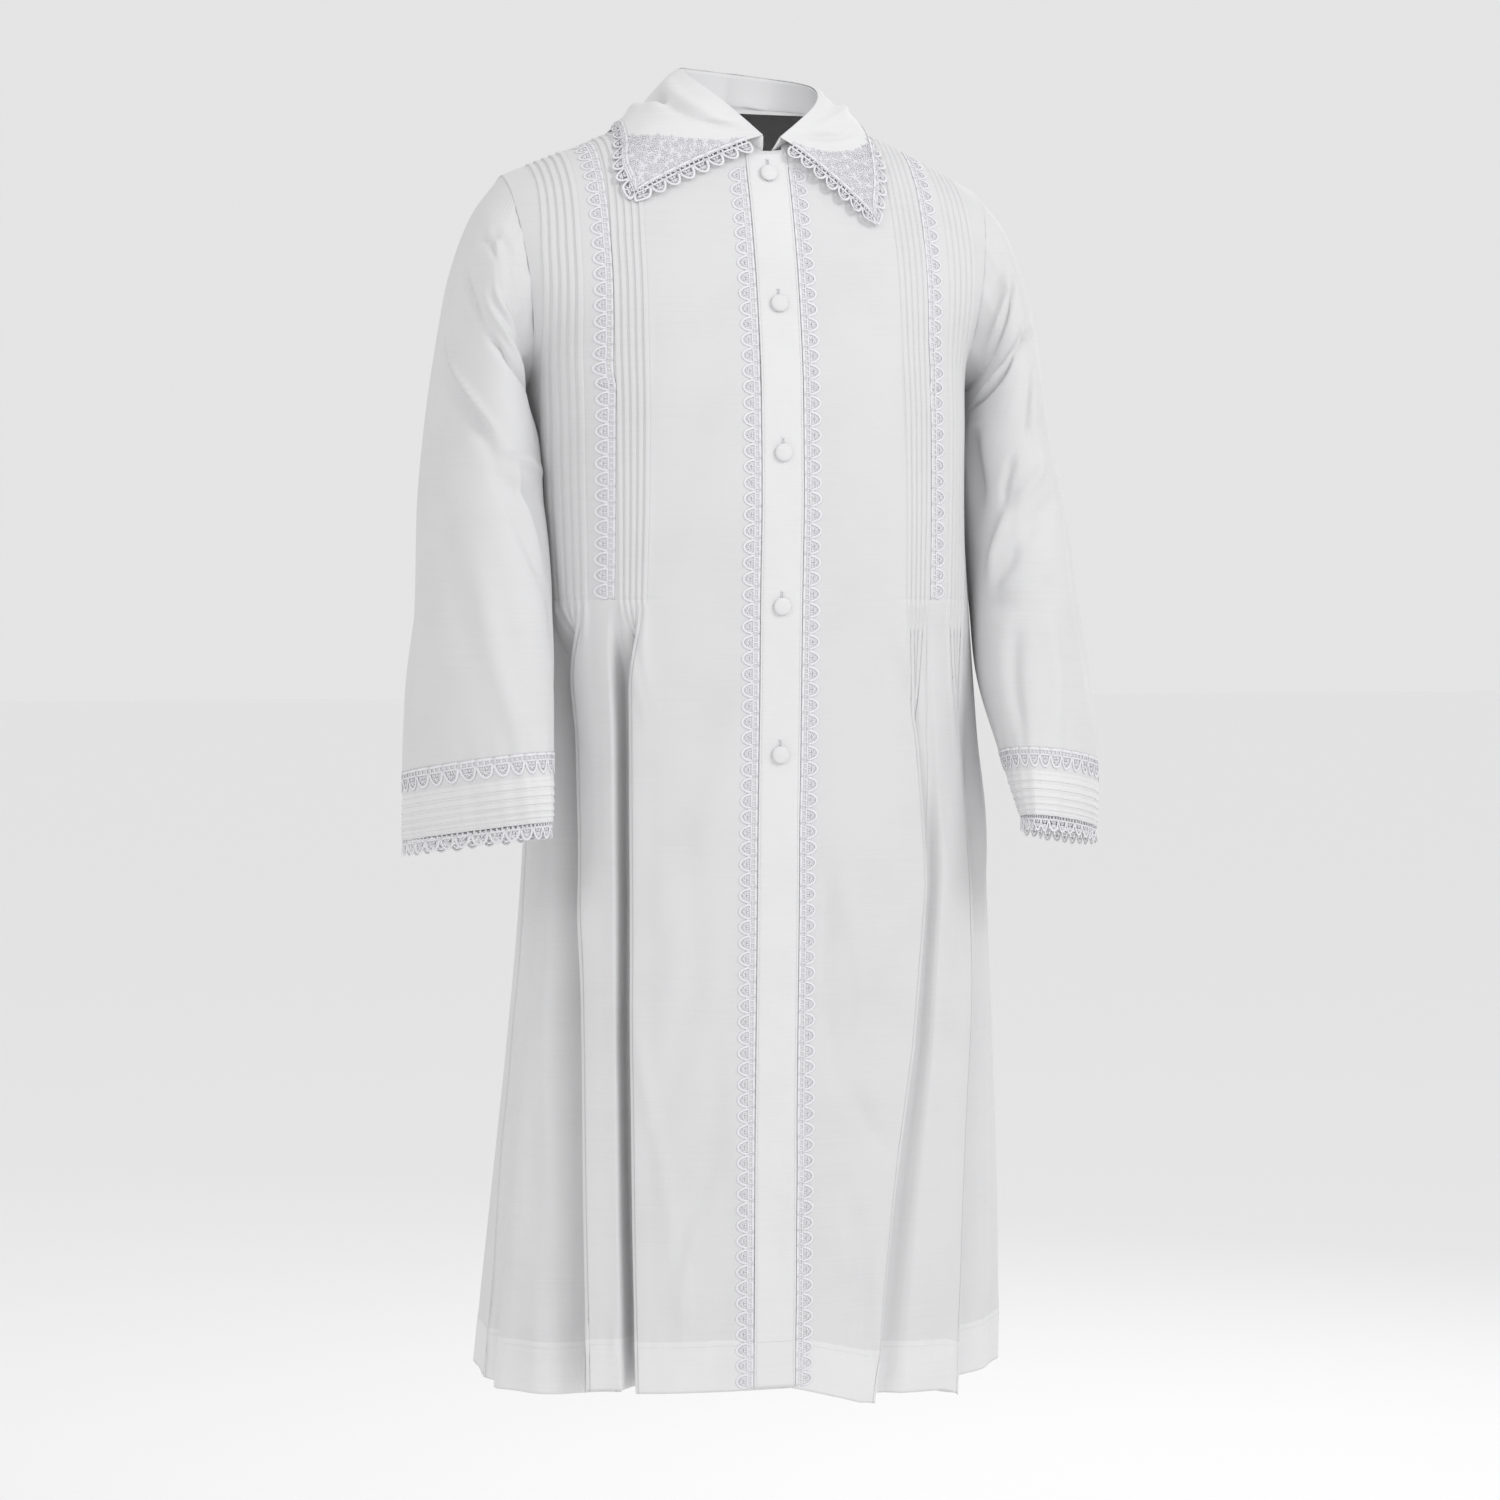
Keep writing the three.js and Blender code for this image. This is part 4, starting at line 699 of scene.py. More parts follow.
class Sleeve:
    """A sleeve's surface: u counts its rings from the armhole down, and i its lines round it."""

    def __init__(self, side, front_panel, back_panel):
        self.side = side
        rings = np.zeros((RINGS + 1, AROUND, 3))
        for i in range(AROUND):
            panel = front_panel if i <= ARMHOLE_STEPS else back_panel
            v = ARMHOLE_SECTIONS[abs(ARMHOLE_STEPS - i)]
            edge = panel.point(v, 1.0)
            outwards = unit(edge - panel.point(v, 0.97))
            if i == ARMHOLE_STEPS:
                outwards = np.array([side, 0, 0])
            edge = edge - outwards * 0.8 - panel.facing(v, 1.0) * 0.45
            rings[0, i] = edge
            start = math.atan2((ARMHOLE_MIDDLE[1] - edge[1]) / ARMHOLE_DEPTH,
                               (edge[2] - ARMHOLE_MIDDLE[2]) / ARMHOLE_HEIGHT)
            even = i / AROUND * TURN
            while start < even - math.pi:
                start += TURN
            for k in range(1, RINGS + 1):
                c = {name: column[k - 1] for name, column in SLEEVE.items()}
                angle = mix(start, even, min(1, k / 4))
                turn, pitch = math.radians(c["turn"]), math.radians(c["pitch"])
                across, along = math.cos(turn), math.sin(turn)
                out = np.array([across * math.cos(pitch), -along * math.cos(pitch), math.sin(pitch)])
                ahead = np.array([-along * c["front"], -across * c["front"], c["rise"]])
                middle = np.array([c["rightX"] if side < 0 else c["leftX"], c["y"], c["z"]])
                p = middle + out * c["out"] * math.cos(angle) + ahead * math.sin(angle)
                rings[k, i] = p * (side, 1, 1)
        self.rings = rings

    def base(self, u, i):
        """Points at u down the sleeve and i round it, which are arrays of one shape."""
        u, i = np.broadcast_arrays(np.asarray(u, float), np.asarray(i, float))
        whole = np.floor(i).astype(int)
        part = (i - whole)[..., None]
        k = np.clip(np.floor(u).astype(int), 0, RINGS - 1)
        t = (u - k)[..., None]

        def line(n):
            near = (self.rings[np.clip(k + m, 0, RINGS), n % AROUND] for m in (-1, 0, 1, 2))
            return spline(*near, t)

        lines = [line(whole + m) for m in (-1, 0, 1, 2)]
        rounded = smooth((u - 0.2) / 1.0)[..., None]
        return mix(mix(lines[1], lines[2], part), spline(*lines, part), np.maximum(rounded, 0.5))

    def facing(self, u, i):
        step = 0.04
        round_it = self.base(u, i + 0.3) - self.base(u, i - 0.3)
        down = self.base(np.minimum(RINGS, u + step), i) - self.base(np.maximum(0, u - step), i)
        return unit(np.cross(round_it, down)) * self.side


def above_cuff(distance):
    """The place down a sleeve a given distance above the end of its cloth."""
    return RINGS - distance / CUFF_LENGTH


# Folds of a sleeve, each from one place to another by line round and ring down, with width and depth.
SLEEVE_CREASES = {
    "Right": [
        (3.0, 1.35, 6.0, 1.15, 6, -4.0), (4.4, 1.15, 8.3, 0.4, 6, -4.7),
        (5.8, 1.85, 8.0, 1.5, 9, 4.7), (1.4, 2.0, 4.3, 2.55, 7, -5.6),
        (4.3, 2.55, 8.6, 2.9, 7, -7.5), (4.4, 2.15, 8.5, 2.45, 9, 5.6),
        (0.7, 2.85, 4.3, 4.25, 5, 5.9), (4.3, 4.25, 8.1, 4.65, 5, 5.6),
        (0.5, 3.2, 4.0, 4.65, 8, -5.9), (4.0, 4.65, 7.8, 5.05, 8, -4.9),
        (5.3, 4.55, 6.8, 5.6, 6, 3.7), (4.8, 4.8, 6.3, 5.95, 8, -3.4),
        (1.0, 3.4, 1.3, 6.6, 14, -4.9), (3.2, 5.6, 3.0, 8.2, 14, 4.7),
        (6.8, 5.9, 6.6, 8.2, 10, -4.4), (8.6, 3.3, 8.4, 6.4, 12, 4.7),
        (16.5, 1.4, 14.0, 3.4, 13, -7.6), (12.4, 2.0, 15.8, 4.6, 13, 7.1),
        (18.2, 2.4, 17.2, 6.6, 15, -7.1), (13.6, 4.8, 14.2, 8.0, 12, -6.6),
        (11.2, 2.2, 12.0, 5.0, 9, -4.7),
    ],
    "Left": [
        (9.0, 2.95, 6.5, 2.4, 4.5, -8.2), (6.5, 2.4, 3.1, 2.6, 6, -5.2),
        (8.7, 2.6, 5.4, 2.05, 6, 5.9), (8.4, 0.3, 6.5, 0.8, 5, -4.7),
        (8.6, 0.75, 6.4, 1.2, 6, 4.5), (8.6, 1.3, 5.6, 1.45, 6, -4.7),
        (7.2, 5.7, 5.7, 5.1, 6, 5.9), (5.7, 5.1, 3.3, 4.35, 6, 6.4),
        (6.8, 5.95, 5.3, 5.35, 7, -4.7), (5.3, 5.35, 2.6, 5.0, 7, -6.2),
        (6.4, 4.95, 5.2, 4.4, 5, -4.7), (4.4, 4.2, 3.9, 3.1, 6, -5.9),
        (8.0, 3.7, 8.1, 5.1, 12, -8.6), (7.4, 5.75, 2.8, 5.7, 7, 3.8),
        (7.6, 6.15, 3.0, 6.05, 9, -4.1), (3.5, 1.2, 2.9, 2.4, 10, -4.7),
        (5.2, 6.3, 5.4, 8.1, 12, -4.7), (3.4, 6.2, 3.6, 8.1, 11, 4.5),
        (16.5, 1.4, 14.0, 3.4, 13, -8.5), (12.4, 2.0, 15.8, 4.6, 13, 7.9),
        (18.2, 2.4, 17.2, 6.6, 15, -7.9), (0.6, 3.4, 0.9, 7.6, 13, -6.4),
        (11.4, 3.0, 12.4, 5.6, 9, -5.2),
    ],
}


def sleeve_lift(side, u, i):
    """How far a sleeve's cloth stands off its plain form, for its folds, its seam and its puckers."""
    scaled = np.array(SLEEVE_CREASES[word_of(side)])
    scaled = scaled * (SLEEVE_LINE, SLEEVE_RING, SLEEVE_LINE, SLEEVE_RING, 1, 1)
    angle = i / AROUND * TURN
    lift = 0
    for turn in (-AROUND, 0, AROUND):
        lift = lift + creases((i + turn) * SLEEVE_LINE, u * SLEEVE_RING, scaled)
    lift = lift * smooth(u / 1.2) * (1 - 0.75 * smooth((u - 7.6) / 0.8))
    wave = np.sin(angle * 17 + side) * np.sin(angle * 5)
    lift = lift + wave * 0.7 * smooth((u - 7.2) / 1.2)
    ease = np.sin(angle * 21) ** 2 * bell(u, 0.35) * 0.6
    return lift + ease - 0.5 * bell(u, 0.04)


def sleeve(name, form):
    """A sleeve with its folds, tucks and hem, and the lines of its stitches."""
    across, height = TUCK_PROFILE["across"], TUCK_PROFILE["height"]
    tucked = CUFF_HEM + TUCKS * CUFF_TUCK
    plain = [[0, 0.03, 0.08, 0.16], np.linspace(0.28, PLAIN_TO, SLEEVE_ROWS),
             np.linspace(PLAIN_TO + 0.05, above_cuff(tucked + 0.6), 6)]
    rows = [(u, 0.0) for u in np.concatenate(plain)]
    bases = []
    for k in range(TUCKS, 0, -1):
        bases.append(len(rows) + 2)
        rows += [(above_cuff(CUFF_HEM + k * CUFF_TUCK - share * CUFF_TUCK), lift * CUFF_TUCK_HEIGHT)
                 for share, lift in zip(across, height)]
    rows += [(above_cuff(d), 0.0) for d in (CUFF_HEM - 0.7, 5, 2.5, 0.6, 0)]
    u, raised = (column[:, None] for column in np.array(rows).T)
    i = np.arange(SLEEVE_COLUMNS)[None] / SLEEVE_COLUMNS * AROUND
    lift = raised + sleeve_lift(form.side, u, i)
    crimp = puckers(i * SLEEVE_LINE * 0.8, 7.5, 2.3 + form.side)
    lift = lift + crimp * 0.34 * smooth((u - above_cuff(tucked + 16)) / 0.2)
    lift = lift - 0.35 * bell((RINGS - u) * CUFF_LENGTH - 6.5, 0.8)
    facing = form.facing(u, i)
    grid = form.base(u, i) + facing * lift[..., None]
    doubled = ((u[:-1] + u[1:]) / 2)[:, 0] > above_cuff(tucked)
    piece = cloth_sheet(name, grid, VOILE, [voile, double_voile], form.side, True, doubled)
    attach(piece, "root")
    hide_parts(name)
    lines = [(np.vstack([grid[r], grid[r, :1]]), np.vstack([facing[r], facing[r, :1]]))
             for r in bases + [len(rows) - 3]]
    return piece, lines


sleeve_right_form = Sleeve(-1, front_right, back_right)
sleeve_left_form = Sleeve(1, front_left, back_left)
sleeve_right, sleeve_right_lines = sleeve("sleeve_right", sleeve_right_form)
sleeve_left, sleeve_left_lines = sleeve("sleeve_left", sleeve_left_form)

# ---------------------------------------------------------------- the lace strips
# Machine lace 17 mm wide, worked in white cotton thread: a straight edge, a ladder of holes, and arches
# with a small flower in each. It is sewn flat on the fronts and sleeves and hangs from the cuffs.
LACE_WIDTH = 17
SCALLOP = 14.2
LACE_FROM = 145
BAND_FROM, BAND_TO = -20, 18
BAND_LACE_TOP = 11.3
TUCK_LACE_TOP = 14.6
CUFF_SCALLOPS = 28
CUFF_LACE_GAP = 3
CUFF_LACE_BEHIND = 2.4  # its plain edge is sewn behind the hem
CUFF_LACE_DEPTH = -0.95
LAID_LACE_HEIGHT = 0.3
LACE_STEPS = 7  # across it, in the net it lies on
LOOK_FROM = 12  # how far off the cloth under a lace is looked for
LADDER_BARS = 3  # to each scallop


class Threadwork:
    """Threads worked over a flat plan, each a tube: along the strip, across it and its height."""

    def __init__(self):
        self.points, self.faces, self.count = [], [], 0

    def take(self, points, faces):
        self.points.append(np.asarray(points, float))
        self.faces += shifted(faces, self.count)
        self.count += len(points)

    def thread(self, path, width, height, sides=5):
        path = np.asarray(path, float)
        along = unit(np.gradient(path, axis=0))
        across = np.stack([-along[:, 1], along[:, 0]], -1)
        turn = np.arange(sides) / sides * TURN + np.pi / sides
        ring = path[:, None] + across[:, None] * (np.cos(turn) * width / 2)[None, :, None]
        rise = np.broadcast_to(height / 2 * (1 + np.sin(turn)), ring.shape[:2])
        points = np.concatenate([ring, rise[..., None]], -1).reshape(-1, 3)
        ends = [tuple(range(sides))[::-1], tuple((len(path) - 1) * sides + n for n in range(sides))]
        self.take(points, ring_faces(len(path), sides) + ends)

    def bead(self, middle, long, wide, angle, height):
        sides = 6
        turn = np.arange(sides) / sides * TURN
        x, y = spin(np.cos(turn) * long / 2, np.sin(turn) * wide / 2, angle)
        ring = np.stack([middle[0] + x, middle[1] + y, np.full(sides, height * 0.4)], -1)
        points = np.vstack([ring, [*middle, height], [*middle, 0]])
        faces = [(n, (n + 1) % sides, sides) for n in range(sides)]
        faces += [((n + 1) % sides, n, sides + 1) for n in range(sides)]
        self.take(points, faces)


def ring_faces(rings, sides):
    """The faces between rings of points, each ring joined to the next."""
    return [(a * sides + b, a * sides + (b + 1) % sides, (a + 1) * sides + (b + 1) % sides,
             (a + 1) * sides + b) for a in range(rings - 1) for b in range(sides)]


def shifted(faces, by):
    """Faces renumbered, to follow points that are there already."""
    return [tuple(int(n) + by for n in f) for f in faces]


def spin(x, y, angle):
    """A place turned about the middle."""
    c, s = math.cos(angle), math.sin(angle)
    return x * c - y * s, x * s + y * c


def lace_scallop():
    """One scallop of the lace, from its straight edge at 0 across to the tip of its arch."""
    work = Threadwork()
    straight = np.linspace(0, SCALLOP, 4)
    work.thread([(x, 1.5) for x in straight], 3.0, 0.4)
    work.thread([(x, 6.1) for x in straight], 1.7, 0.55)
    for n in range(LADDER_BARS):
        x = (n + 0.5) * SCALLOP / LADDER_BARS
        work.thread([(x, 2.4), (x, 5.8)], 2.1, 0.4, sides=4)
    middle, foot, tip, half = SCALLOP / 2, 6.2, LACE_WIDTH - 1.2, SCALLOP / 2 - 0.9
    turn = np.linspace(0, np.pi, 15)
    arch = [(middle - half * np.cos(a) * (1 - 0.14 * np.sin(a)),
             foot + (tip - foot) * np.sin(a) ** 0.85) for a in turn]
    work.thread(arch, 2.5, 0.6)
    heart = (middle, 10.3)
    for n in range(5):
        a = math.radians(90 + 72 * n)
        work.bead((heart[0] + 1.9 * math.cos(a), heart[1] + 1.9 * math.sin(a)), 2.7, 1.8, a, 0.6)
    for a in (20, 62, 118, 160):
        a = math.radians(a)
        far = (heart[0] + 5.4 * math.cos(a), heart[1] + 4.4 * math.sin(a))
        work.thread([heart, far], 1.0, 0.35, sides=4)
    for x in (-3.2, -1.2, 1.2, 3.2):
        work.thread([(heart[0] + x * 0.5, heart[1] - 1.2), (heart[0] + x, 6.6)], 1.0, 0.35, sides=4)
    work.bead((0.0, 8.2), 2.0, 3.2, 0, 0.5)
    return np.concatenate(work.points), work.faces


def thread_material(name, colour):
    """White cotton thread: slightly uneven, with the fine ribs of close stitches."""
    material, nodes, links, surface = new_material(name, 0.7, 0.3, 0.15)
    place = nodes.new("ShaderNodeTexCoord")
    ribs = nodes.new("ShaderNodeTexNoise")
    ribs.inputs["Scale"].default_value = 1600
    ribs.inputs["Detail"].default_value = 2
    links.new(place.outputs["Object"], ribs.inputs["Vector"])
    colour_between(nodes, links, ribs.outputs["Fac"], surface, (0.3, [c * 0.95 for c in colour]),
                   (0.7, colour))
    emboss(nodes, links, ribs.outputs["Fac"], surface, 0.3, 0.0002)
    return material


lace_thread = thread_material("lace_thread", (0.81, 0.803, 0.835))
scallop_points, scallop_faces = lace_scallop()


def lace_strip(name, scallops, place):
    """Scallops side by side. place finds points and facings, along in scallops and across in mm."""
    points, faces = [], []
    for n in range(scallops):
        along = n + scallop_points[:, 0] / SCALLOP
        point, facing = place(along, scallop_points[:, 1])
        points.append(point + facing * scallop_points[:, 2:])
        faces += shifted(scallop_faces, n * len(scallop_points))
    piece = make_piece(name, np.concatenate(points), faces, [lace_thread])
    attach(piece, "root")
    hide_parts(name)
    return piece


def tree_of(*objects):
    """The faces of some pieces, to find the nearest of them in millimetres."""
    points, faces = [], []
    for o in objects:
        faces += shifted([p.vertices for p in o.data.polygons], len(points))
        points += [v.co / MM for v in o.data.vertices]
    return BVHTree.FromPolygons(points, faces)


front_trees = {-1: tree_of(right_piece), 1: tree_of(left_piece)}


def on_net(net, face, scallops):
    """Finds places on a net of points, with its stations along a strip and its steps across it."""
    stations, steps = net.shape[:2]

    def place(along, across):
        a = np.clip(along / scallops, 0, 1) * (stations - 1)
        i = np.clip(np.floor(a).astype(int), 0, stations - 2)
        t = (a - i)[:, None]
        c = across / LACE_WIDTH * (steps - 1)
        j = np.clip(np.floor(c).astype(int), 0, steps - 2)
        w = (c - j)[:, None]
        point = mix(mix(net[i, j], net[i + 1, j], t), mix(net[i, j + 1], net[i + 1, j + 1], t), w)
        return point, unit(mix(face[i, j], face[i + 1, j], t))

    return place


def front_lace(name, panel, start, top, bottom):
    """Lace down a front, its scallops pointing away from the centre, laid on the cloth."""
    middle = start + LACE_WIDTH / 2
    v = np.linspace(top, float(panel.section_at(middle, bottom)), 400)
    length = run_of(panel.point(v, panel.share_at(v, middle)))
    scallops = round(length[-1] / SCALLOP)
    stations = scallops * 5 + 1
    steps = np.linspace(0, LACE_WIDTH, LACE_STEPS)
    here = np.interp(np.linspace(0, length[-1], stations), length, v)[:, None] + 0 * steps[None]
    share = panel.share_at(here, start + steps[None] + 0 * here)
    net, face = panel.point(here, share), panel.facing(here, share)
    heights = np.zeros(here.shape)
    for at in np.ndindex(heights.shape):
        out = Vector(face[at])
        hit = front_trees[panel.side].ray_cast(Vector(net[at]) + out * LOOK_FROM, -out, 2 * LOOK_FROM)
        heights[at] = LOOK_FROM - hit[3] if hit[0] else 0
    for _ in range(2):
        raised = np.maximum(heights[1:-1], (heights[2:] + heights[:-2]) / 2)
        heights[1:-1] = (heights[1:-1] + raised) / 2
    net = net + face * (heights + 0.08)[..., None]
    return lace_strip(name, scallops, on_net(net, face, scallops))


band_laces = [front_lace(f"band_lace_{word_of(panel.side).lower()}", panel, start + SEAM_GAP,
                         BAND_LACE_TOP, HEM_EDGE + 1)
              for panel, start in ((front_right, -BAND_FROM), (front_left, BAND_TO))]
tuck_laces = [front_lace(f"tuck_lace_{word_of(panel.side).lower()}", panel, LACE_FROM + SEAM_GAP,
                         TUCK_LACE_TOP, TUCKS_END) for panel in (front_right, front_left)]


def sleeve_lace(name, form, top_above, lift, hanging):
    """Lace round a sleeve, laid on it or hanging from its edge."""

    def place(along, across):
        i = along / CUFF_SCALLOPS * AROUND
        u = above_cuff(top_above - across)
        edge = np.minimum(u, RINGS)
        facing = form.facing(edge, i)
        wave = np.sin(i / AROUND * TURN * 9) * 5.4 * np.maximum(0, u - edge) if hanging else 0
        height = sleeve_lift(form.side, edge, i) + lift + wave
        point = form.base(edge, i) + facing * np.asarray(height)[..., None]
        point[..., 2] -= np.maximum(0, u - edge) * CUFF_LENGTH
        return point, facing

    return lace_strip(name, CUFF_SCALLOPS, place)


laid_top = CUFF_HEM + TUCKS * CUFF_TUCK + CUFF_LACE_GAP + LACE_WIDTH
for word, form in (("Right", sleeve_right_form), ("Left", sleeve_left_form)):
    sleeve_lace(f"sleeve_lace_{word.lower()}", form, laid_top, LAID_LACE_HEIGHT, False)
    sleeve_lace(f"cuff_lace_{word.lower()}", form, CUFF_LACE_BEHIND, CUFF_LACE_DEPTH, True)

# ---------------------------------------------------------------- the button band
# The band is a strip of double voile laid over both fronts' edges and stitched down along both sides.
# A buttonhole is worked upright in it behind each button.
BAND_TOP = -39.5
BAND_TOP_RISE = 2.5
BAND_THICK = 0.55
BAND_SEAM = 1.9  # from its edges to their stitches
BAND_ROWS = 250
BAND_COLUMNS = [0, 0.012, 0.03, 0.045, 0.06, 0.08, 0.14, 0.24, 0.34, 0.44,
                0.56, 0.66, 0.76, 0.86, 0.92, 0.94, 0.955, 0.97, 0.988, 1]
BUTTON_HEIGHTS = [-60, -178, -310, -446, -578]
BUTTON_ACROSS = -1
HOLE_BELOW, HOLE_ABOVE = 7, 12.5  # how far each slit reaches from its button's middle
HOLE_STITCHES = 24  # down each side of a slit
BAND_CREASES = [
    (-18, -640, 16, -672, 3.5, -0.5), (-16, -700, 12, -690, 5, 0.4),
    (-18, -806, 14, -840, 4, -0.5), (14, -900, -16, -925, 5, 0.4),
    (-12, -965, 15, -990, 4, -0.45), (-17, -1052, 10, -1066, 4, 0.4),
    (-14, -240, 14, -256, 5, 0.35), (15, -380, -10, -402, 5, -0.4),
    (-16, -520, 12, -505, 5, 0.35), (2, -90, 6, -160, 6, 0.35), (-6, -200, -3, -290, 6, 0.3),
    (5, -1085, 0, -1120, 6, -0.3),
]


def band_surface(x, z, height):
    """Points over the band at places across and up, and the way it faces."""
    x, z = np.broadcast_arrays(np.asarray(x, float), np.asarray(z, float))
    point, facing = np.zeros(x.shape + (3,)), np.zeros(x.shape + (3,))
    for panel in (front_right, front_left):
        mine = (x < 0) if panel.side < 0 else (x >= 0)
        v = panel.section_at(np.abs(x[mine]), z[mine])
        s = panel.share_at(v, np.abs(x[mine]))
        facing[mine] = panel.facing(v, s)
        lift = creases(np.abs(x[mine]), z[mine], FRONT_CREASES[word_of(panel.side)])
        point[mine] = panel.point(v, s, lift)
    edge = np.minimum(x - BAND_FROM, BAND_TO - x)
    lift = height + 0.25 * smooth(edge / 1.2) - 0.3 * bell(edge - BAND_SEAM, 0.6)
    lift = lift + creases(x, z, BAND_CREASES)
    lift = lift + puckers(z, 8, 3.0) * 0.22 * bell(edge - BAND_SEAM, 3.0)
    return point + facing * lift[..., None], facing


def button_band():
    z = np.linspace(HEM_EDGE + 1, BAND_TOP, BAND_ROWS)[:, None]
    share = np.array(BAND_COLUMNS)[None]
    x = BAND_FROM + (BAND_TO - BAND_FROM) * share
    top = BAND_TOP_RISE * np.abs(2 * share - 1)
    heights = z + top * smooth((z - BAND_TOP + 30) / 30)
    grid, _ = band_surface(x, heights, LAY_GAP + VOILE)
    return cloth_sheet("button_band", grid, BAND_THICK, [double_voile])


band = button_band()
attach(band, "root")
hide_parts("button_band")

band_heights = np.linspace(HEM_EDGE + 4, BAND_TOP - 1, 2 * BAND_ROWS)
band_lines = [band_surface(across, band_heights, LAY_GAP + 0.6)
              for across in (BAND_FROM + BAND_SEAM, BAND_TO - BAND_SEAM)]
band_lines += [band_surface(np.linspace(BAND_FROM + 2, BAND_TO - 2, 20), height, LAY_GAP + 0.62)
               for height in (BAND_TOP - 2, HEM_EDGE + HEM_TURN - 2)]


def buttonholes():
    """The close stitches down both sides of each slit, and the bars across its ends."""
    work = Threadwork()
    for z in BUTTON_HEIGHTS:
        low, high = z - HOLE_BELOW, z + HOLE_ABOVE
        for side in (-1, 1):
            for n in range(HOLE_STITCHES):
                up = mix(low, high, (n + 0.5) / HOLE_STITCHES)
                work.bead((BUTTON_ACROSS + side * 0.75, up), 1.15, 0.8, 0.12 * side, 0.55)
        for up in (low - 0.4, high + 0.4):
            work.thread([(BUTTON_ACROSS - 1.3, up), (BUTTON_ACROSS + 1.3, up)], 1.1, 0.6)
    plan = np.concatenate(work.points)
    point, facing = band_surface(plan[:, 0], plan[:, 1], LAY_GAP + 0.6)
    return make_piece("buttonholes", point + facing * plan[:, 2:], work.faces, [lace_thread])


holes = buttonholes()
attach(holes, "root")

# ---------------------------------------------------------------- the buttons
# Five domed buttons covered in the same voile, drawn tight over the rim and gathered underneath.
BUTTON_RADIUS = 7.8
BUTTON_HEIGHT = 4.6
button_cloth = voile_material("button_cloth", (0.73, 0.73, 0.738), roughness=0.7, shade=0.02)
BUTTON_SIDES = 48
BUTTON_PROFILE = table(
    "radius height",
    [0.0, 0.1], [0.5, 0.08], [0.86, 0.1], [0.95, 0.2], [1.0, 0.36], [0.995, 0.5], [0.965, 0.62],
    [0.91, 0.72], [0.82, 0.8], [0.7, 0.87], [0.55, 0.93], [0.38, 0.97], [0.2, 0.995], [0, 1.0],
)


def button(number, z):
    turn = np.arange(BUTTON_SIDES) / BUTTON_SIDES * TURN
    point, facing = band_surface([BUTTON_ACROSS], [z], LAY_GAP)
    out = unit(facing[0] * (0, 1, 1))
    across = np.array([1.0, 0, 0])
    up = np.cross(out, across)
    around = across * np.cos(turn)[:, None] + up * np.sin(turn)[:, None]
    rings = []
    for r, h in zip(*BUTTON_PROFILE.values()):
        drawn = 1 + 0.012 * np.sin(turn * 15 + number) * smooth((r - 0.8) / 0.2)
        radius = max(r, 0.001) * BUTTON_RADIUS * drawn
        rings.append(point[0] + out * (h * BUTTON_HEIGHT + LAY_GAP + 0.1) + around * radius[:, None])
    rows = len(rings)
    ends = [tuple(range(BUTTON_SIDES))[::-1],
            tuple((rows - 1) * BUTTON_SIDES + n for n in range(BUTTON_SIDES))]
    faces = ends + ring_faces(rows, BUTTON_SIDES)
    piece = make_piece(f"button_{number}", np.concatenate(rings), faces, [button_cloth])
    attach(piece, "root")
    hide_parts(f"button_{number}")
    return piece


buttons = [button(n + 1, z) for n, z in enumerate(BUTTON_HEIGHTS)]

# ---------------------------------------------------------------- the collar and its neckband
# The collar turns down from a narrow stand round the neck. It is double voile, with a wedge of floral
# lace let into each front corner and the same lace edging sewn round its front and outer edges.
COLLAR = table(
    "foldX foldY foldZ rightX rightZ leftX leftZ",
    [8, -79, -27, 119, -80, 93, -98],
    [41, -59, 2, 125, -54, 101, -64],
    [58, -31, 20, 121, -33, 103, -32],
    [63, 0, 33, 115, 0, 101, 0],
    [57, 29, 40, 104, -24, 92, -24],
    [38, 51, 44, 66, -28, 64, -28],
    [0, 63, 46, 0, -30, 0, -30],
)
COLLAR_ON = ["front", "front", "front", "seam", "back", "back", "back"]
LAST = len(COLLAR_ON) - 1
COLLAR_ROLL = 3
COLLAR_FOLD = 1.6
COLLAR_TURN = math.radians(4)
COLLAR_TILT = math.radians(4.5)
COLLAR_CLEAR = 4.6
CORNER_REACH = 2.3
CORNER_COLUMNS, REST_COLUMNS = 5, 10
FALL_COLUMNS = CORNER_COLUMNS + REST_COLUMNS
DOWN_FALL = np.array([0, 0.1, 0.26, 0.46, 0.68, 0.86, 1])
panels = {-1: (front_right, back_right), 1: (front_left, back_left)}


body_tree = tree_of(*(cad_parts[n] for n in (
    "front_right", "front_left", "back", "button_band", "band_lace_right", "band_lace_left",
    "tuck_lace_right", "tuck_lace_left")))


def clear(point, least):
    """Moves a point out until it is clear of the body's cloth."""
    for _ in range(4):
        place, up, _, distance = body_tree.find_nearest(Vector(point))
        away = np.array(point) - np.array(place)
        above = away @ np.array(up) > 0
        if above and distance >= least - 1e-3:
            break
        out = away / distance if above and distance > 0.05 else np.array(up)
        point = np.array(place) + out * least
    return np.array(point)


def turned(x, y, z):
    """A point of the collar's fold, turned on the neck and tilted with it."""
    x, y = spin(x, y, COLLAR_TURN)
    x, z = spin(x, z, -COLLAR_TILT)
    return np.array([x, y, z])


def fold_point(side, a):
    x, y, z = (float(between(COLLAR[n], np.array(a))) for n in ("foldX", "foldY", "foldZ"))
    return turned(side * x, y, z)


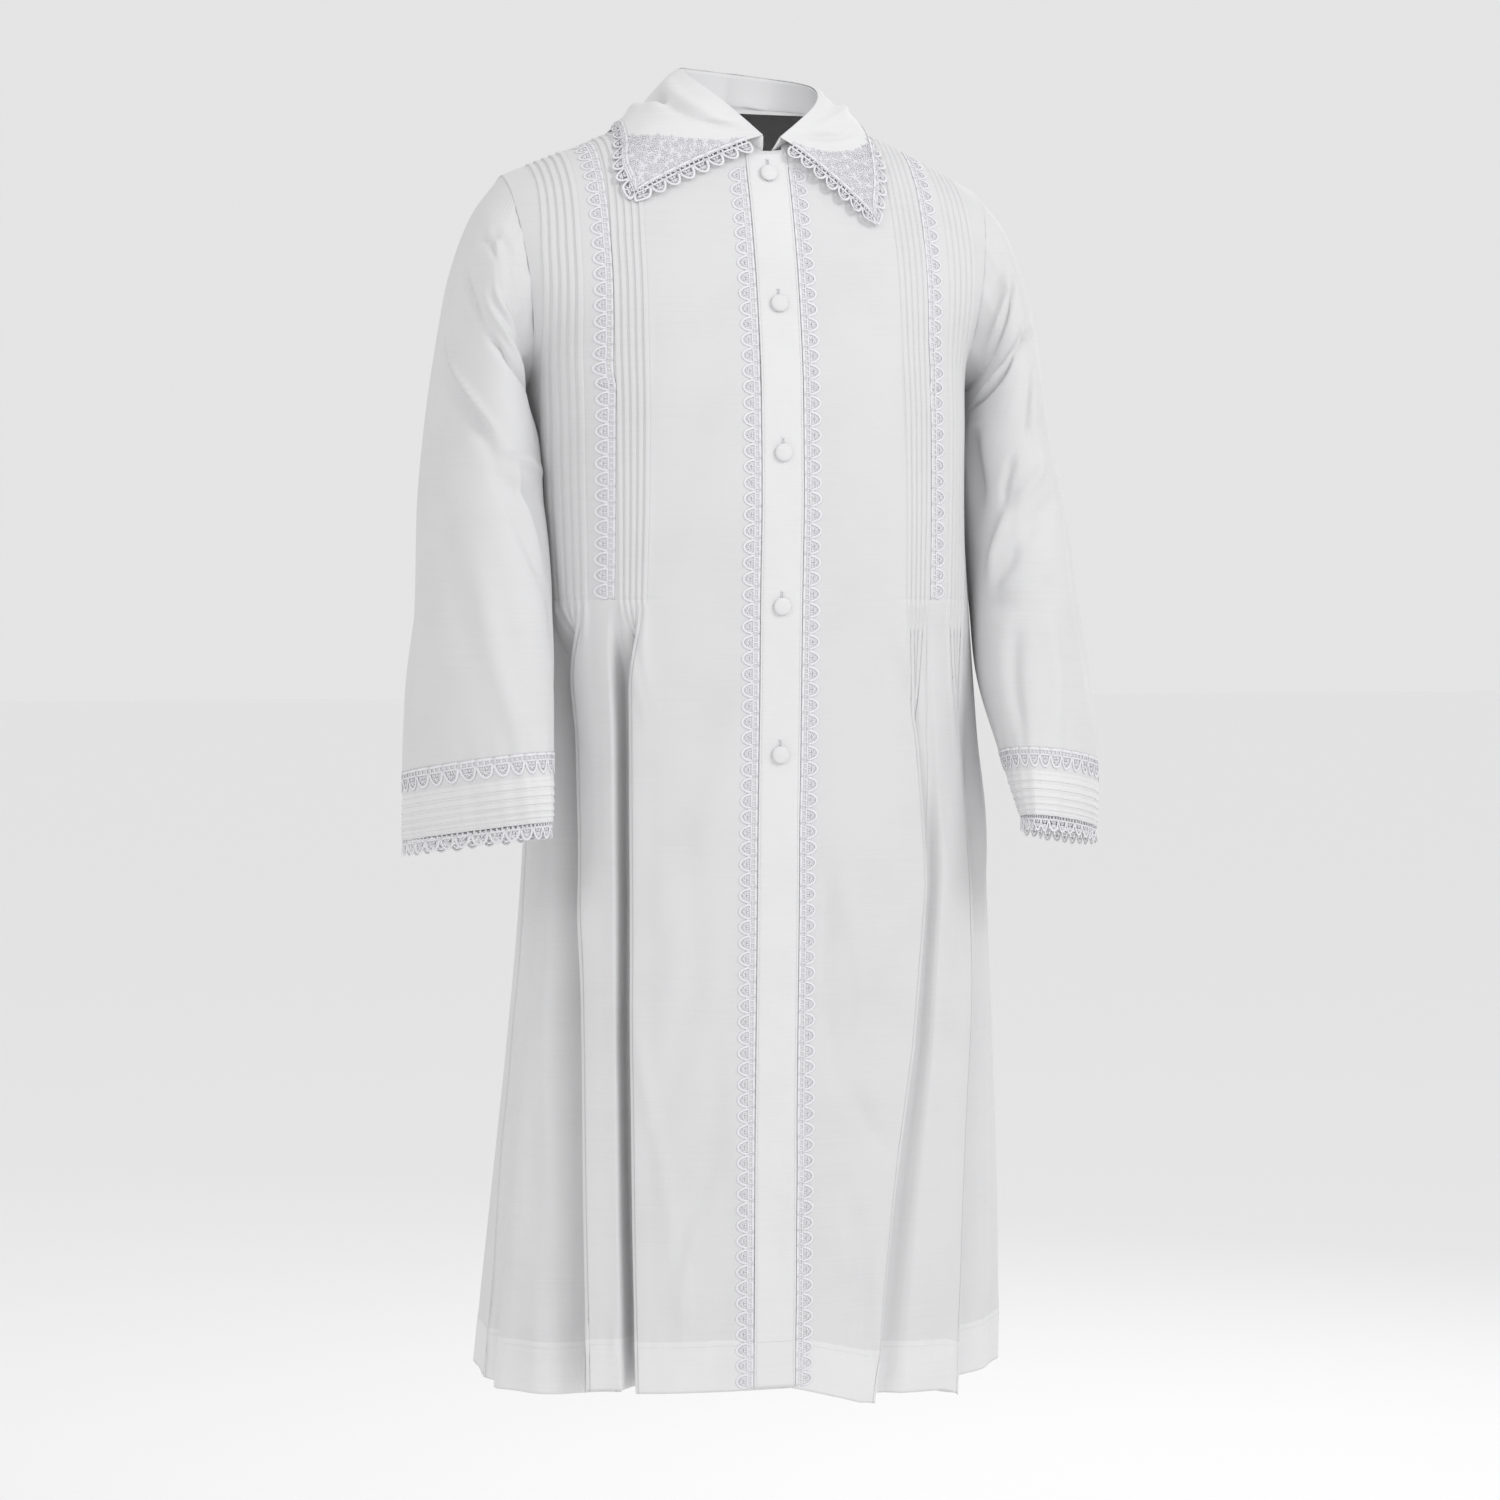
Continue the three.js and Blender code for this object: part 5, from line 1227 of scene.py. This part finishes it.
def edge_points(side):
    """Where the collar's outer edge lies on the body, at each row of its table."""
    word = word_of(side).lower()
    front_panel, back_panel = panels[side]
    points = []
    for n, on in enumerate(COLLAR_ON):
        x, z = COLLAR[word + "X"][n], COLLAR[word + "Z"][n]
        if on == "seam":
            p = front_panel.point(SHOULDER, front_panel.share_at(SHOULDER, x), COLLAR_CLEAR)
        else:
            p = (front_panel if on == "front" else back_panel).at(max(1.0, x), z, COLLAR_CLEAR)
        points.append(p * ((0, 1, 1) if x == 0 else (1, 1, 1)))
    mirrored = points[LAST - 1] * (-1, 1, 1)
    return np.array([points[0]] + points + [mirrored])


def fall_net(side):
    """The collar's fall as a net of points: round the neck from its front, and down to its edge."""
    edges = edge_points(side)
    net = np.zeros((FALL_COLUMNS + 1, len(DOWN_FALL), 3))
    for column in range(FALL_COLUMNS + 1):
        for row, b in enumerate(DOWN_FALL):
            corner = CORNER_REACH * mix(0.2, 1, b)
            if column <= CORNER_COLUMNS:
                a = corner * column / CORNER_COLUMNS
            else:
                a = mix(corner, LAST, (column - CORNER_COLUMNS) / REST_COLUMNS)
            fold = fold_point(side, a) + (0, 0, 1.4 + LAY_GAP)
            edge = between(edges, np.array(a + 1.0))
            away = unit(np.array([edge[0] - fold[0], edge[1] - fold[1], 0]))
            arch = COLLAR_ROLL * 4 * b * (1 - b)
            p = mix(fold, edge, b) + (0, 0, arch * 0.8)
            p = p + away * (arch * 0.6 + COLLAR_FOLD * min(1, b * 10))
            net[column, row] = clear(p, COLLAR_CLEAR) if b > 0.2 else p
    for row in range(3, len(DOWN_FALL)):
        for column in range(FALL_COLUMNS):
            middle = (net[column, row] + net[column + 1, row]) / 2
            lift = clear(middle, COLLAR_CLEAR) - middle
            net[column, row] += lift
            net[column + 1, row] += lift * ((0, 1, 1) if column + 1 == FALL_COLUMNS else (1, 1, 1))
    return net


FALL_DOWN = 8  # roughly how many columns' width the fall measures down
FALL_LENGTH = 70  # and how many millimetres
FALL_SEAM = 3.2  # from its edge to its stitches
FALL_THICK = 0.7
# Soft folds of the fall, by column round and share down it, with width in columns and depth in mm.
FALL_CREASES = {
    -1: [(2.4, 0.1, 8.0, 0.42, 0.5, -4.0), (4.0, 0.08, 9.4, 0.34, 0.55, 3.6),
         (5.2, 0.22, 9.6, 0.62, 0.5, -3.0), (9.5, 0.2, 11.5, 0.9, 0.8, -2.2),
         (6.4, 0.4, 8.2, 0.9, 0.6, 2.2)],
    1: [(3.0, 0.1, 6.0, 0.6, 0.5, -4.0), (5.2, 0.1, 8.0, 0.75, 0.5, 3.8),
        (6.6, 0.12, 9.2, 0.7, 0.5, -3.6), (10, 0.2, 12, 0.9, 0.8, -2.0)],
}


def fall_surface(side, column, b, height=0.0):
    """Points over a side's fall and the way it faces, at places round it (in columns) and down it."""
    column, b = np.broadcast_arrays(np.asarray(column, float), np.asarray(b, float))
    net = nets[side]

    def base(column, b):
        row = np.interp(b, DOWN_FALL, np.arange(len(DOWN_FALL)))
        i = np.clip(np.floor(column).astype(int), 0, FALL_COLUMNS - 1)
        t = (column - i)[..., None]
        j = np.clip(np.floor(row).astype(int), 0, len(DOWN_FALL) - 2)
        w = (row - j)[..., None]
        mirror = net[FALL_COLUMNS - 1] * (-1, 1, 1)
        wide = np.concatenate([net[:1], net, mirror[None]])

        def down(n):
            return spline(*(wide[n, np.clip(j + m, 0, len(DOWN_FALL) - 1)] for m in (-1, 0, 1, 2)), w)

        return spline(*(down(i + m) for m in (0, 1, 2, 3)), t)

    step = 0.03
    round_it = (base(np.minimum(FALL_COLUMNS, column + step * 3), b)
                - base(np.maximum(0, column - step * 3), b))
    down_it = base(column, np.minimum(1, b + step)) - base(column, np.maximum(0, b - step))
    facing = unit(np.cross(round_it, down_it)) * -side
    top = (1 - smooth(b / 0.12))[..., None]
    facing = unit(mix(facing, np.array([0, 0, 1.0]), top * 0.6))
    scaled = np.array(FALL_CREASES[side]) * (1, FALL_DOWN, 1, FALL_DOWN, 1, 1)
    soft = creases(column, b * FALL_DOWN, scaled) * smooth(b / 0.2) * smooth((1.05 - b) / 0.2)
    return base(column, b) + facing * (soft + height)[..., None], facing


nets = {side: fall_net(side) for side in (-1, 1)}


def collar_fall():
    """The fall, from the wearer's right front edge round the back of the neck to the left one."""
    round_it = np.concatenate([np.linspace(0, CORNER_COLUMNS, 31),
                               np.linspace(CORNER_COLUMNS, FALL_COLUMNS, 51)[1:]])
    down = np.concatenate([[0, 0.015, 0.035, 0.06, 0.09, 0.13], np.linspace(0.17, 0.955, 24),
                           [0.97, 0.98, 0.99, 1]])[:, None]
    halves = []
    for side in (-1, 1):
        grid, facing = fall_surface(side, round_it[None], down)
        within = np.minimum((1 - down) * FALL_LENGTH, round_it[None] * 12)
        rim = 0.25 * smooth(within / 1.2) - 0.3 * bell(within - FALL_SEAM, 0.8)
        grid = grid + facing * rim[..., None]
        halves.append(grid if side < 0 else grid[:, ::-1][:, 1:])
    return cloth_sheet("collar", np.concatenate(halves, 1), FALL_THICK, [double_voile])


collar = collar_fall()
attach(collar, "root")
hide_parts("collar")


STAND_THICK = 0.8


def neckband():
    """The stand, from the neckline up to the fold, all round from one front edge to the other."""
    up = np.array([0, 0.08, 0.16, 0.3, 0.45, 0.6, 0.75, 0.9, 1])[:, None]
    halves = []
    for side in (-1, 1):
        columns = []
        for on, panel in zip((1, -1), panels[side]):
            v = np.linspace(NECK_FRONT, SHOULDER, 22)
            v = v if on > 0 else v[::-1][1:]
            low = panel.point(v, np.zeros(len(v)))
            low = low - unit(low * (1, 1, 0)) * 0.9 - (0, 0, 2.5)
            a = v - NECK_FRONT if on > 0 else LAST + NECK_FRONT - v
            high = np.array([fold_point(side, n) for n in a]) + (0, 0, 0.9)
            columns += list(zip(low, high))
        low, high = (np.array(c) for c in zip(*columns))
        out = unit(low * (1, 1, 0))
        out[-1] = (0, 1, 0)
        bow = 0.9 * np.sin(np.pi * up) - 0.35 * bell(up - 0.12, 0.05)
        grid = mix(low[None], high[None], up[..., None]) + out[None] * bow[..., None]
        ripple = puckers(np.arange(len(columns)), 2.4, 1.7 * side) * 0.25
        grid = grid + out[None] * (ripple * np.sin(np.pi * up))[..., None]
        halves.append(grid if side < 0 else grid[:, ::-1][:, 1:])
    grid = np.concatenate(halves, 1)
    return cloth_sheet("collar_stand", grid[::-1], STAND_THICK, [double_voile])


stand = neckband()
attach(stand, "root")
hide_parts("collar_stand")


def lace_ground(name, colour):
    """Fine net between the raised stitches: small meshes, a little darker than the thread, with painted
    shade darkening the middle of each mesh where its hole is.
    """
    material = thread_material(name, colour)
    nodes, links = material.node_tree.nodes, material.node_tree.links
    place = nodes.new("ShaderNodeTexCoord")
    meshes = nodes.new("ShaderNodeTexVoronoi")
    meshes.feature = "DISTANCE_TO_EDGE"
    meshes.inputs["Scale"].default_value = 620
    links.new(place.outputs["Object"], meshes.inputs["Vector"])
    # painted shade: each mesh darkens towards its middle, for the shade seen through its hole
    colour_between(nodes, links, meshes.outputs["Distance"], nodes["Principled BSDF"], (0.05, colour),
                   (0.3, [c * 0.9 for c in colour]))
    return material


lace_net = lace_ground("lace_net", (0.74, 0.73, 0.78))


def flower_motif():
    """A six-petalled flower about 7 mm across, each petal a loop of close stitches."""
    work = Threadwork()
    for n in range(6):
        a = math.radians(60 * n)
        work.bead((2.4 * math.cos(a), 2.4 * math.sin(a)), 2.7, 2.0, a, 0.26)
    work.bead((0, 0), 1.4, 1.4, 0, 0.32)
    return np.concatenate(work.points), work.faces


def leaf_motif():
    """A spray of slender leaves on a curved stem, about 10 mm long."""
    work = Threadwork()
    stem = [(x, 0.9 * math.sin(x / 2.5)) for x in np.linspace(-5, 5, 8)]
    work.thread(stem, 0.8, 0.22, sides=4)
    for n, (x, y) in enumerate(stem[1:-1]):
        side = 1 if n % 2 else -1
        work.bead((x + 0.6, y + side * 1.5), 2.9, 1.4, side * 0.9, 0.26)
    return np.concatenate(work.points), work.faces


def frame_on_fall(side, column, b, height):
    """A point over the fall with the directions round it, across it and out of it."""
    at, out = fall_surface(side, np.array([column]), np.array([b]), height)
    ahead, _ = fall_surface(side, np.array([min(FALL_COLUMNS, column + 0.2)]), np.array([b]), height)
    round_it = unit((ahead - at)[0])
    return at[0], round_it, np.cross(out[0], round_it), out[0]


def wedge_reach(b):
    """How far round the collar the wedge reaches, in columns: to nothing at the neck."""
    return CORNER_COLUMNS * (0.05 + 0.95 * b)


MOTIF_PITCH = 6.2
MOTIF_ROWS = np.arange(0.17, 0.975, 0.055)  # down the wedge
EDGE_BEADS = np.linspace(0.12, 0.97, 34)  # down the wedge's sewn edge


def collar_corner(name, side):
    """The wedge of floral lace: its net, and flowers and leaf sprays worked over it."""
    down = np.concatenate([[0.1, 0.108], np.linspace(0.13, 0.97, 24), [0.99, 0.998]])[:, None]
    columns = mix(0.02, wedge_reach(down), np.linspace(0, 1, 31)[None])
    grid, _ = fall_surface(side, columns, down, 0.55)
    if side > 0:
        grid = grid[:, ::-1]
    net = cloth_sheet(f"{name}_net", grid, 0.3, [lace_net])
    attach(net, "root")
    motifs = [flower_motif(), leaf_motif()]
    points, faces, count = [], [], 0
    step = 0
    for row, b in enumerate(MOTIF_ROWS):
        line, _ = fall_surface(side, np.linspace(0, wedge_reach(b), 20), b)
        number = max(1, round(run_of(line)[-1] / MOTIF_PITCH))
        for n in range(number):
            step += 1
            column = wedge_reach(b) * (n + 0.5 + 0.12 * math.sin(2.4 * step)) / number
            shape, sides = motifs[(n + row) % 2]
            lower = b + 0.008 * math.sin(1.7 * step)
            at, round_it, across, out = frame_on_fall(side, column, lower, 0.66)
            x, y = spin(shape[:, 0], shape[:, 1], step * 2.4)
            points.append(at + x[:, None] * round_it + y[:, None] * across + shape[:, 2:] * out)
            faces += shifted(sides, count)
            count += len(shape)
    work = Threadwork()
    for b in EDGE_BEADS:
        work.bead((wedge_reach(b), b), 1.7, 1.1, 0, 0.9)
    for b, shape in zip(EDGE_BEADS, work.points):
        at, round_it, across, out = frame_on_fall(side, wedge_reach(b), b, 0.2)
        flat = shape - (wedge_reach(b), b, 0)
        points.append(at + flat[:, :1] * across + flat[:, 1:2] * round_it + flat[:, 2:] * out)
    faces += shifted(work.faces, count)
    piece = make_piece(name, np.concatenate(points), faces, [lace_thread])
    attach(piece, "root")
    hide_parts(name)
    return [piece, net]


corner_right = collar_corner("collar_corner_right", -1)
corner_left = collar_corner("collar_corner_left", 1)

LACE_OVER = (3.5, 5.2)  # how far the edging lies over the collar's front edge, and its outer edge
LACE_CORNER = 9
EDGE_DOWN, EDGE_ROUND = 29, 150  # points of the collar's front edge and of its outer edge


def collar_lace(name, side):
    """The edging, sewn to the front edge and the outer edge as far as the centre back."""
    column = np.concatenate([np.zeros(EDGE_DOWN), np.linspace(0, FALL_COLUMNS, EDGE_ROUND)])
    b = np.concatenate([np.linspace(0.1, 1, EDGE_DOWN + 1)[:-1], np.ones(EDGE_ROUND)])
    edge, facing = fall_surface(side, column, b)
    within, _ = fall_surface(side, np.where(b < 1, 0.4, column), np.where(b < 1, b, 0.93))
    out = unit(edge - within)
    length = run_of(edge)
    scallops = round(length[-1] / SCALLOP)
    stations = np.linspace(0, length[-1], scallops * 4 + 1)
    away = read(out, length, stations - LACE_CORNER) + read(out, length, stations + LACE_CORNER)
    face = unit(read(facing, length, stations))
    away = unit(away - face * (away * face).sum(-1, keepdims=True))
    steps = np.linspace(0, LACE_WIDTH, LACE_STEPS)
    past = steps - mix(*LACE_OVER, smooth((stations - length[EDGE_DOWN - 1]) / 12))[:, None]
    net = read(edge, length, stations)[:, None] + away[:, None] * past[..., None]
    curl = np.maximum(0, steps - 4) ** 1.3 / 13
    standing = 1.6 * curl[None] * bell(stations[:, None] - 60, 70) * (side > 0)
    flute = 0.9 * np.sin(stations[:, None] / 11) * (curl / 2)[None]
    drop = mix(0.75, -2.0, smooth((past + 2.4) / 8))
    net = net + face[:, None] * (standing + flute + drop)[..., None]
    least = COLLAR_CLEAR - FALL_THICK - 2.0
    for n in range(net.shape[0]):
        for k in range(1, net.shape[1]):
            net[n, k] = clear(net[n, k], least)
    net[..., 0] = side * np.maximum(side * net[..., 0], SEAM_GAP / 2)
    return lace_strip(name, scallops, on_net(net, np.repeat(face[:, None], LACE_STEPS, 1), scallops))


edging = [collar_lace("collar_lace_right", -1), collar_lace("collar_lace_left", 1)]

# ---------------------------------------------------------------- the stitching
# Machine stitching in white cotton: along the foot of every tuck, round the hems, down both sides of
# the band and along the collar's edge.
sewing_thread = thread_material("sewing_thread", (0.7, 0.7, 0.71))
collar_lines = [fall_surface(side, np.linspace(CORNER_COLUMNS, FALL_COLUMNS, 80),
                             1 - FALL_SEAM / FALL_LENGTH, 0.05) for side in (-1, 1)]
seams = {"right": right_lines, "left": left_lines, "back": back_lines,
         "sleeve_right": sleeve_right_lines, "sleeve_left": sleeve_left_lines,
         "band": band_lines, "collar": collar_lines}
stitching = {name: stitches(f"stitches_{name}", lines, sewing_thread)
             for name, lines in seams.items()}

# ---------------------------------------------------------------- the floor
# A plain pale studio floor under the garment, which hangs clear of it as it does on its wearer.
FLOOR_DEPTH = -1.65
FLOOR_REACH = 40
floor_material, _, _, floor_surface = new_material("floor", 0.9, 0.1)
floor_surface.inputs["Base Color"].default_value = (0.98, 0.98, 0.98, 1)
floor_mesh = bpy.data.meshes.new("floor")
floor_corners = [(x * FLOOR_REACH, y * FLOOR_REACH, FLOOR_DEPTH)
                 for x, y in ((-1, -1), (1, -1), (1, 1), (-1, 1))]
floor_mesh.from_pydata(floor_corners, [], [(0, 1, 2, 3)])
floor_mesh.materials.append(floor_material)
floor = bpy.data.objects.new("floor", floor_mesh)
bpy.context.scene.collection.objects.link(floor)

# ---------------------------------------------------------------- light
# Even studio light: large soft panels from the front, above and behind, and a bright plain room.
ROOM_LIGHT = 0.78
world = bpy.data.worlds.new("room")
world.use_nodes = True
room = world.node_tree.nodes["Background"]
room.inputs["Color"].default_value = (1, 1, 1, 1)
room.inputs["Strength"].default_value = ROOM_LIGHT
bpy.context.scene.world = world
bpy.context.scene.view_settings.view_transform = "Standard"
AIM = Vector((0, 0, -0.3))
for name, place, size, power in (
        ("left_panel", (-2.2, -2.3, 1.0), 1.2, 12),
        ("right_panel", (1.6, -2.3, 1.3), 1.1, 28),
        ("top_panel", (0.5, -1.9, 1.6), 1.2, 2),
        ("back_panel", (1.9, 2.3, 0.8), 0.9, 18)):
    lamp = bpy.data.lights.new(name, "AREA")
    lamp.shape = "DISK"
    lamp.size = size
    lamp.energy = power
    light = bpy.data.objects.new(name, lamp)
    light.location = place
    light.rotation_euler = (AIM - Vector(place)).to_track_quat("-Z", "Y").to_euler()
    bpy.context.scene.collection.objects.link(light)

# ---------------------------------------------------------------- camera
CAMERA_TURN = math.radians(15.103)
CAMERA_PITCH = math.radians(2.307)
CAMERA_AWAY = 3.6873
CAMERA_ASIDE = 0.004634
CAMERA_HEIGHT = -0.4302
CAMERA_LENS = 96.283
camera_data = bpy.data.cameras.new("camera")
camera_data.lens = CAMERA_LENS
camera_data.sensor_width = 36
camera = bpy.data.objects.new("camera", camera_data)
c, s = math.cos(CAMERA_TURN), math.sin(CAMERA_TURN)
camera.location = (-CAMERA_AWAY * s + CAMERA_ASIDE * c, -CAMERA_AWAY * c - CAMERA_ASIDE * s,
                   CAMERA_HEIGHT)
look = Vector((s * math.cos(CAMERA_PITCH), c * math.cos(CAMERA_PITCH), -math.sin(CAMERA_PITCH)))
camera.rotation_euler = look.to_track_quat("-Z", "Y").to_euler()
bpy.context.scene.collection.objects.link(camera)
bpy.context.scene.camera = camera
